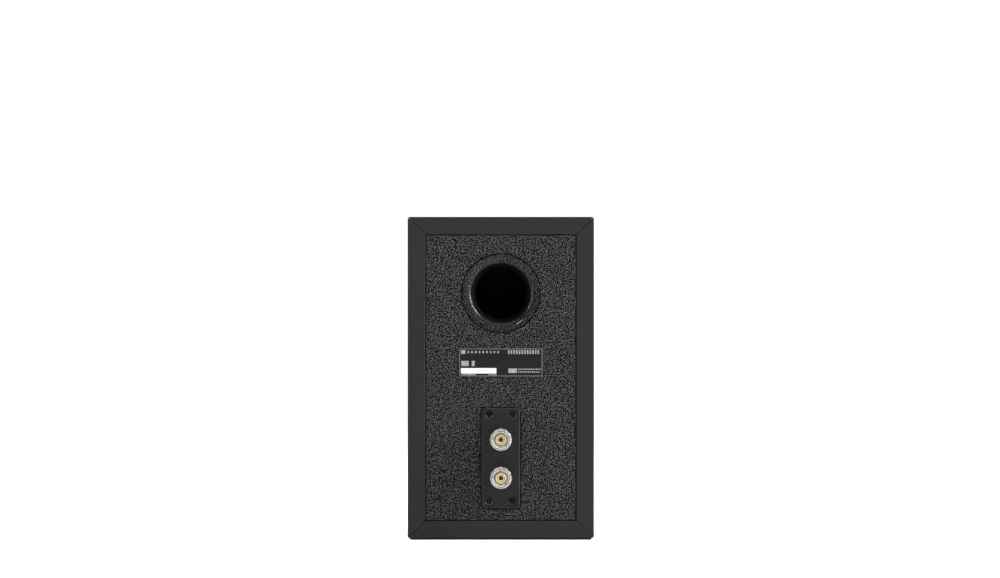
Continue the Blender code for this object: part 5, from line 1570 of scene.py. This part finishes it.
class SPEAKER_OT_woofer_suspension(bpy.types.Operator):
    """The woofer's half-roll surround and corrugated spider, between frame and cone"""

    bl_idname = "speaker.woofer_suspension"
    bl_label = "Woofer suspension"

    def execute(self, context):
        settings = context.scene.speaker_drivers
        rubber = rubber_finish("Surround rubber", settings.rubber_colour, WOOFER_AT)
        centre = (53.2 * MM, -2.3 * MM)
        over = np.pad(arc(centre, 4.3 * MM, 4, 176, 36), ((0, 0), (0, 1)))
        under = np.pad(arc(centre, 3.7 * MM, 175.4, 4.6, 36), ((0, 0), (0, 1)))
        lips = np.array([(64.0, -2.6, 0.1), (64.0, -2.0, 0.1)]) * MM
        inner = np.array([(46.0, -2.0, 0.15), (46.0, -2.6, 0.1)]) * MM
        skin = Skin(WOOFER_AT, FRONT)
        path, _ = rounded_path(np.concatenate([lips, over, inner, under]), steps=3)
        skin.turned(path, sides=settings.sides, ring=True)
        surround = skin.make("woofer_surround_roll", rubber, None, ("woofer_surround",))
        bend_between(surround)

        cloth = woven_finish("Spider cloth", (0.20, 0.085, 0.022), WOOFER_AT, 0.55 * MM)
        radius = np.linspace(13.6, 37.2, 73) * MM
        waves = np.clip((radius - 13.6 * MM) / (33.2 * MM - 13.6 * MM), 0, 1) * 6
        height = -29.7 * MM + 0.5 * MM * (1 - np.cos(math.pi * waves))
        low = np.stack([radius, height], 1)
        path = np.concatenate([low, low[::-1] + (0, 0.45 * MM)])
        skin = Skin(WOOFER_AT, FRONT)
        skin.turned(path, sides=120, ring=True)
        spider = skin.make("woofer_spider_pleated", cloth, None, ("woofer_spider",))
        bend_between(spider)
        return {"FINISHED"}


class SPEAKER_OT_tweeter(bpy.types.Operator):
    """The tweeter's dished faceplate, silk dome and surround, and voice coil"""

    bl_idname = "speaker.tweeter"
    bl_label = "Tweeter"

    def execute(self, context):
        settings = context.scene.speaker_drivers
        self.faceplate(settings)
        silk = woven_finish("Dome silk", settings.silk_colour, TWEETER_AT, 0.22 * MM, 0.34)
        skin = Skin(TWEETER_AT, FRONT)
        skin.turned(cap_section(12.7 * MM, 4.6 * MM, 0.4 * MM, -5.6 * MM, 20), sides=120)
        skin.make("tweeter_dome_silk", silk, "tweeter_diaphragm", ("tweeter_dome",))
        centre = (14.7 * MM, -5.5 * MM)
        over = np.pad(arc(centre, 1.7 * MM, 8, 172, 16), ((0, 0), (0, 1)))
        under = np.pad(arc(centre, 1.3 * MM, 171, 9, 16), ((0, 0), (0, 1)))
        lips = np.array([(19.5, -5.7, 0.08), (19.5, -5.3, 0.08)]) * MM
        inner = np.array([(12.76, -5.3, 0.08), (12.76, -5.7, 0.08)]) * MM
        skin = Skin(TWEETER_AT, FRONT)
        path, _ = rounded_path(np.concatenate([lips, over, inner, under]), steps=3)
        skin.turned(path, sides=120, ring=True)
        surround = skin.make("tweeter_surround_silk", silk, None, ("tweeter_surround",))
        bend_between(surround)
        coil = np.array([(12.1, -12.5), (12.6, -12.5), (12.6, -6.3), (12.1, -6.3)])
        coil = np.hstack([coil, np.full((len(coil), 1), 0.08)]) * MM
        wire = coil_finish("Tweeter coil", 1, 0.16 * MM)
        ring_piece(
            "tweeter_voice_coil_wound", "tweeter_voice_coil", coil, TWEETER_AT, FRONT, wire,
            "tweeter_diaphragm",
        )
        return {"FINISHED"}

    def faceplate(self, settings):
        finish = grained_finish(
            "Moulded faceplate", (0.006, 0.006, 0.0065), size=0.4 * MM, depth=0.012 * MM, roughness=0.34,
            dust=0.02, Specular_IOR_Level=0.3,
        )
        along = np.linspace(1, 0, 25)
        dish = np.stack([34 + (17.3 - 34) * along, -0.2 - 4.0 * along**2, 0 * along], 1)
        section = [(47.0, -0.2, 0), (48.0, -0.2, 0.3), (48.0, -3.7, 0.2), (34.5, -3.7, 0), (34.5, -5.0, 0.3)]
        section += [(17.3, -5.0, 0.15), (17.3, -4.2, 0)]
        section = np.concatenate([section, dish[1:], [(34.4, -0.2, 0)]]) * MM
        skin = Skin(TWEETER_AT, FRONT)
        rings = skin.bored(rounded_path(section, ends_open=True, crease=0.1 * MM), settings.sides)
        recess = np.array([
            (4.2, -0.2, 0), (3.5, -0.2, 0.2), (3.5, -2.0, 0), (1.9, -2.0, 0), (1.9, -3.2, 0), (0, -3.2, 0),
        ]) * MM
        recess = rounded_path(recess, ends_open=True, crease=0.2 * MM)
        screws = places_round("tweeter_screw", 3, TWEETER_AT)
        skin.fill(rings[0], rings[-1], *[skin.bored(recess, 40, (x, z))[0] for _, x, z in screws])
        skin.make("tweeter_faceplate_moulded", finish, "cabinet", ("tweeter_faceplate",))


class SPEAKER_OT_driver_screws(bpy.types.Operator):
    """The socket-head screws that hold both drivers"""

    bl_idname = "speaker.driver_screws"
    bl_label = "Driver screws"

    def execute(self, context):
        finish = steel_finish()
        kinds = (
            ("woofer_screw", 4, WOOFER_AT, 3.3 * MM, 1.8 * MM, 1.75 * MM, 2.9 * MM),
            ("tweeter_screw", 3, TWEETER_AT, 3.1 * MM, 1.4 * MM, 1.6 * MM, 2.4 * MM),
        )
        for stem, count, axis, head_r, head_t, shank_r, across_flats in kinds:
            drive = hex_drive(across_flats, head_t * 0.6)
            for n, (name, x, z) in enumerate(places_round(stem, count, axis)):
                low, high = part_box(name)
                top = BAFFLE_FACE - low.y
                screw_piece(
                    name, (x, BAFFLE_FACE, z + axis[2]), FRONT, finish, head_r, top - head_t, top, shank_r,
                    BAFFLE_FACE - high.y, drive, turn=math.radians(17 + 53 * n),
                )
        return {"FINISHED"}


class SPEAKER_OT_motors(bpy.types.Operator):
    """The drivers' top plates, magnets and yokes"""

    bl_idname = "speaker.motors"
    bl_label = "Magnet motors"

    def execute(self, context):
        steel = painted_steel("Passivated steel", (0.030, 0.030, 0.032))
        ferrite = grained_finish(
            "Ferrite", (0.022, 0.022, 0.023), size=0.35 * MM, depth=0.05 * MM, roughness=0.7, wear=0.6,
            dust=0.0,
        )
        rings = (
            ("woofer_top_plate", WOOFER_AT, steel, [(13.9, -44.8), (42, -44.8), (42, -39.8), (13.9, -39.8)]),
            ("woofer_magnet", WOOFER_AT, ferrite, [(23.3, -60.1), (45, -60.1), (45, -45.1), (23.3, -45.1)]),
            (
                "woofer_yoke", WOOFER_AT, steel,
                [(4.5, -65.4), (42, -65.4), (42, -60.4), (12, -60.4), (12, -39.8), (4.5, -39.8)],
            ),
            ("tweeter_top_plate", TWEETER_AT, steel, [(13.2, -9), (35, -9), (35, -6), (13.2, -6)]),
            ("tweeter_magnet", TWEETER_AT, ferrite, [(17, -18.3), (36, -18.3), (36, -9.3), (17, -9.3)]),
        )
        for name, at, finish, section in rings:
            rounding = np.full((len(section), 1), 0.6)
            corners = np.hstack([np.array(section), rounding]) * MM
            ring_piece(f"{name}_fine", name, corners, at, FRONT, finish, sides=96, steps=3)
        yoke = np.array([
            (0, -22.6, 0), (34, -22.6, 0.8), (34, -18.6, 0.5), (11.5, -18.6, 0.4), (11.5, -6.3, 0.3),
            (0, -6.3, 0),
        ]) * MM
        skin = Skin(TWEETER_AT, FRONT)
        skin.turned(*rounded_path(yoke, 3, ends_open=True), sides=96)
        skin.make("tweeter_yoke_fine", steel, "cabinet", ("tweeter_yoke",))
        return {"FINISHED"}


# ---------------------------------------------------------------- crossover and wadding


class SPEAKER_OT_crossover(bpy.types.Operator):
    """The crossover's wound coils and capacitor, and the finish of its board, the tag strip and the nuts"""

    bl_idname = "speaker.crossover"
    bl_label = "Crossover"

    def execute(self, context):
        for name in ("woofer_inductor", "tweeter_inductor"):
            self.inductor(name)
        size, centre = extent("tweeter_capacitor"), middle("tweeter_capacitor")
        can_r, half = size[0] / 2, size[1] / 2
        film = grained_finish(
            "Capacitor film", (0.55, 0.36, 0.05), size=0.8 * MM, depth=0.01 * MM, roughness=0.32, dust=0.0
        )
        section = [(0, -half, 0), (can_r, -half, 1.2 * MM), (can_r, half, 1.2 * MM), (0, half, 0)]
        skin = Skin(tuple(centre), REAR)
        skin.turned(*rounded_path(section, ends_open=True), sides=64)
        skin.make("tweeter_capacitor_can", film, "cabinet", ("tweeter_capacitor",))
        board, gold = board_finish(), (0.78, 0.55, 0.25)
        kept = {
            "crossover_board": board,
            "woofer_tag_strip": board,
            "positive_nut": metal_finish("Nut plate", gold, POSTS_AT["positive"]),
            "negative_nut": metal_finish("Nut plate low", gold, POSTS_AT["negative"]),
        }
        for name, finish in kept.items():
            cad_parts[name].material_slots[0].material = finish
        return {"FINISHED"}

    def inductor(self, name):
        """A bobbin of wire: its section swells a little between the turns of each layer."""
        size, centre = extent(name), middle(name)
        radius, height = size[0] / 2, size[2]
        bore = 9 * MM if radius > 18 * MM else 7 * MM
        end, wire = 1.5 * MM, 1.1 * MM  # thickness of the bobbin's end plates, and of the wire
        wound_r = radius - 1.5 * MM
        along = np.linspace(end, height - end, 121)
        turns = round((height - 2 * end) / wire)
        swell = np.abs(np.sin(math.pi * turns * (along - end) / (height - 2 * end)))
        wall = np.stack([wound_r - 0.45 * MM * (1 - swell), along, 0 * along], 1)
        section = np.concatenate([
            [(bore, 0, 0.3 * MM), (radius, 0, 0.3 * MM), (radius, end, 0.3 * MM)],
            wall,
            [(radius, height - end, 0.3 * MM), (radius, height, 0.3 * MM), (bore, height, 0.3 * MM)],
        ])
        finish = coil_finish(f"Enamelled wire {name.split('_')[0]}", 2, wire)
        skin = Skin((centre[0], centre[1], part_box(name)[0].z), UPWARD)
        skin.turned(*rounded_path(section, 2), sides=72, ring=True)
        skin.make(f"{name}_wound", finish, "cabinet", (name,))


class SPEAKER_OT_leads(bpy.types.Operator):
    """The sheath finish of the three internal leads, each one run of twin-core cable from the crossover"""

    bl_idname = "speaker.leads"
    bl_label = "Internal leads"

    def execute(self, context):
        sheath = grained_finish("Lead sheath", (0.018, 0.018, 0.018), dust=0.0)
        for name in ("input_lead", "woofer_lead", "tweeter_lead"):
            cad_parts[name].material_slots[0].material = sheath
        return {"FINISHED"}


class SPEAKER_OT_wadding(bpy.types.Operator):
    """The soft fibre wadding that lines the box's sides and top"""

    bl_idname = "speaker.wadding"
    bl_label = "Wadding"

    def execute(self, context):
        """Two skins over the run along the walls, s, and the depth, y: the outer lies on the walls, and
        the inner stands off them by a thickness that swells and sinks with two crossed waves, each bent
        by the other, and closes to nothing with a quarter circle at every edge."""
        low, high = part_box("wadding")
        thick, edge_r, bend_r = 10 * MM, 8 * MM, 14 * MM
        corners = [(low.x, low.z, 0), (low.x, high.z, bend_r), (high.x, high.z, bend_r), (high.x, low.z, 0)]
        path = rounded_path(corners, steps=12, ends_open=True)[0]
        run = np.concatenate([[0], np.cumsum(np.linalg.norm(np.diff(path, axis=0), axis=1))])
        s, y = np.linspace(0, run[-1], 161)[:, None], np.linspace(low.y, high.y, 81)[None]
        walls = np.stack([np.interp(s[:, 0], run, path[:, 0]), np.interp(s[:, 0], run, path[:, 1])], 1)
        ahead = np.gradient(walls, axis=0)
        ahead /= np.linalg.norm(ahead, axis=1)[:, None]
        inwards = np.stack([ahead[:, 1], -ahead[:, 0]], 1)

        def swell(a, b, first, second):
            return np.sin(TURN * a / first + 1.4 * np.sin(TURN * b / second))

        lumps = 0.5 + 0.17 * (
            swell(s, y, 61 * MM, 97 * MM) + swell(y, s, 47 * MM, 83 * MM) + swell(s + y, y, 29 * MM, 53 * MM)
        )

        def rounding(distance):
            return np.sqrt(1 - (1 - np.clip(distance / edge_r, 0, 1)) ** 2)

        closing = rounding(np.minimum(s, run[-1] - s)) * rounding(np.minimum(y - low.y, high.y - y))
        off = (thick - 0.3 * MM - 3.4 * MM * lumps) * closing
        outer_off, inner_off = np.full_like(off, 0.2 * MM), off + 0.2 * MM

        def skin_at(distance):
            x = walls[:, :1] + inwards[:, :1] * distance
            z = walls[:, 1:] + inwards[:, 1:] * distance
            return np.stack([x, np.broadcast_to(y, x.shape), z], -1)

        skin = Skin()
        skin.sheet(np.concatenate([skin_at(outer_off), skin_at(inner_off)[:, -2:0:-1]], 1))
        finish = fibre_finish("Wadding fibre", (0.60, 0.59, 0.56))
        piece = skin.make("wadding_soft", finish, "cabinet", ("wadding",))
        return {"FINISHED"}


# ---------------------------------------------------------------- stage


class SPEAKER_OT_stage(bpy.types.Operator):
    """A plain pale floor, soft studio light and the camera"""

    bl_idname = "speaker.stage"
    bl_label = "Stage"

    def execute(self, context):
        settings = context.scene.speaker_stage
        self.floor(settings)
        self.world(context.scene, settings)
        self.lights(settings)
        self.camera(context.scene, settings)
        context.scene.view_settings.view_transform = "Standard"
        return {"FINISHED"}

    def floor(self, settings):
        skin = Skin((0, 0, 0), UPWARD)
        skin.stack([circle(r, 96) for r in (0.0, 0.5, 2.0, 12.0)], np.zeros(4))
        finish = Finish("Pale floor", Roughness=0.9)
        tree = finish.tree
        tone = tree.noise(finish.place, 3.0, 4.0, 0.5)
        pale = tuple(settings.floor_colour)
        finish.feed("Base Color", tree.mix(tone, tinted(pale, 0.995), pale))
        finish.shader.inputs["Emission Color"].default_value = (1, 1, 1, 1)
        seen = tree.add("ShaderNodeLightPath").outputs["Is Camera Ray"]
        finish.feed("Emission Strength", tree.times(seen, settings.floor_glow))
        floor = skin.make("floor", finish.material, None)

    def world(self, scene, settings):
        world = bpy.data.worlds.new("Studio")
        scene.world = world
        world.use_nodes = True
        world.node_tree.nodes.clear()
        tree = Tree(world.node_tree)
        seen = tree.add("ShaderNodeLightPath").outputs["Is Camera Ray"]
        strength = tree.ramp(seen, 0.0, 1.0, settings.room_light, 1.1, "LINEAR")
        light = tree.add("ShaderNodeBackground", {"Color": (1, 1, 1, 1), "Strength": strength})
        output = tree.add("ShaderNodeOutputWorld")
        tree.tree.links.new(light.outputs[0], output.inputs["Surface"])

    def lights(self, settings):
        sun = bpy.data.lights.new("Overhead", "SUN")
        sun.energy, sun.angle = settings.key_light, math.radians(80)
        self.aim(sun, (-0.25, 0.1, 1.6), (0, 0, 0))
        # Each is named, placed, and given its part of the side light's power, its width and its height.
        boxes = (
            ("Right rear box", (-2.2, 0.8, 1.15), 2.3, 0.4, 2.2),
            ("Left rear box", (2.3, 1.1, 0.7), 0.4, 0.7, 1.8),
            ("Rear spark", (0.9, 2.6, 1.7), 0.2, 0.25, 0.25),
            ("Right front box", (1.0, -2.4, 1.3), 0.9, 0.7, 1.8),
            ("Left front box", (-2.5, -0.8, 0.9), 0.55, 0.5, 1.8),
            ("Front spark", (-0.9, -2.6, 1.7), 0.2, 0.25, 0.25),
        )
        for name, place, part, wide, high in boxes:
            light = bpy.data.lights.new(name, "AREA")
            light.shape, light.size, light.size_y = "RECTANGLE", wide, high
            light.energy = settings.strip_light * part
            self.aim(light, place, (0, 0, 0.17))

    def aim(self, light, place, target):
        lamp = bpy.data.objects.new(light.name, light)
        bpy.context.scene.collection.objects.link(lamp)
        back = np.array(place) - np.array(target)
        lamp.location = place
        flat = math.hypot(back[0], back[1])
        lamp.rotation_euler = (math.atan2(flat, back[2]), 0, math.atan2(back[0], -back[1]))

    def camera(self, scene, settings):
        view = bpy.data.cameras.new("Eye")
        seen_width = 0.9657  # metres in view across, at the box's rear edge
        view.sensor_width = 36.0
        view.lens = view.sensor_width * settings.eye_distance / seen_width
        view.clip_end = 60.0
        camera = bpy.data.objects.new("Eye", view)
        scene.collection.objects.link(camera)
        rear_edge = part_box("left_panel")[1].y
        camera.location = (0.8 * MM, rear_edge + settings.eye_distance, settings.eye_height)
        camera.rotation_euler = (math.radians(90), 0, math.radians(180))
        scene.camera = camera


# ---------------------------------------------------------------- panel and registration


class SPEAKER_PT_panel(bpy.types.Panel):
    """Lists the pieces and the values they are made from"""

    bl_label = "Loudspeaker"
    bl_idname = "SPEAKER_PT_panel"
    bl_space_type = "VIEW_3D"
    bl_region_type = "UI"
    bl_category = "Loudspeaker"

    def draw(self, context):
        layout = self.layout
        for name in SETTINGS:
            settings = getattr(context.scene, name)
            column = layout.column()
            for key in settings.bl_rna.properties.keys():
                if key not in ("rna_type", "name"):
                    column.prop(settings, key)
        for operator in OPERATORS:
            layout.operator(operator.bl_idname)


SETTINGS = {
    "speaker_cabinet": CabinetSettings,
    "speaker_port": PortSettings,
    "speaker_terminals": TerminalSettings,
    "speaker_drivers": DriverSettings,
    "speaker_stage": StageSettings,
}
OPERATORS = (
    SPEAKER_OT_stage,
    SPEAKER_OT_boards,
    SPEAKER_OT_rear_panel,
    SPEAKER_OT_base_pad,
    SPEAKER_OT_port,
    SPEAKER_OT_label,
    SPEAKER_OT_terminal_plate,
    SPEAKER_OT_plate_screws,
    SPEAKER_OT_posts,
    SPEAKER_OT_baffle,
    SPEAKER_OT_woofer_frame,
    SPEAKER_OT_woofer_cone,
    SPEAKER_OT_woofer_suspension,
    SPEAKER_OT_tweeter,
    SPEAKER_OT_driver_screws,
    SPEAKER_OT_motors,
    SPEAKER_OT_crossover,
    SPEAKER_OT_leads,
    SPEAKER_OT_wadding,
)


def register():
    for cls in (*SETTINGS.values(), *OPERATORS, SPEAKER_PT_panel):
        bpy.utils.register_class(cls)
    for name, cls in SETTINGS.items():
        setattr(bpy.types.Scene, name, PointerProperty(type=cls))


def unregister():
    for name in SETTINGS:
        delattr(bpy.types.Scene, name)
    for cls in reversed((*SETTINGS.values(), *OPERATORS, SPEAKER_PT_panel)):
        bpy.utils.unregister_class(cls)


def main():
    """Builds every piece in order."""
    register()
    for operator in OPERATORS:
        family, name = operator.bl_idname.split(".")
        getattr(getattr(bpy.ops, family), name)()


if __name__ == "__main__":
    main()
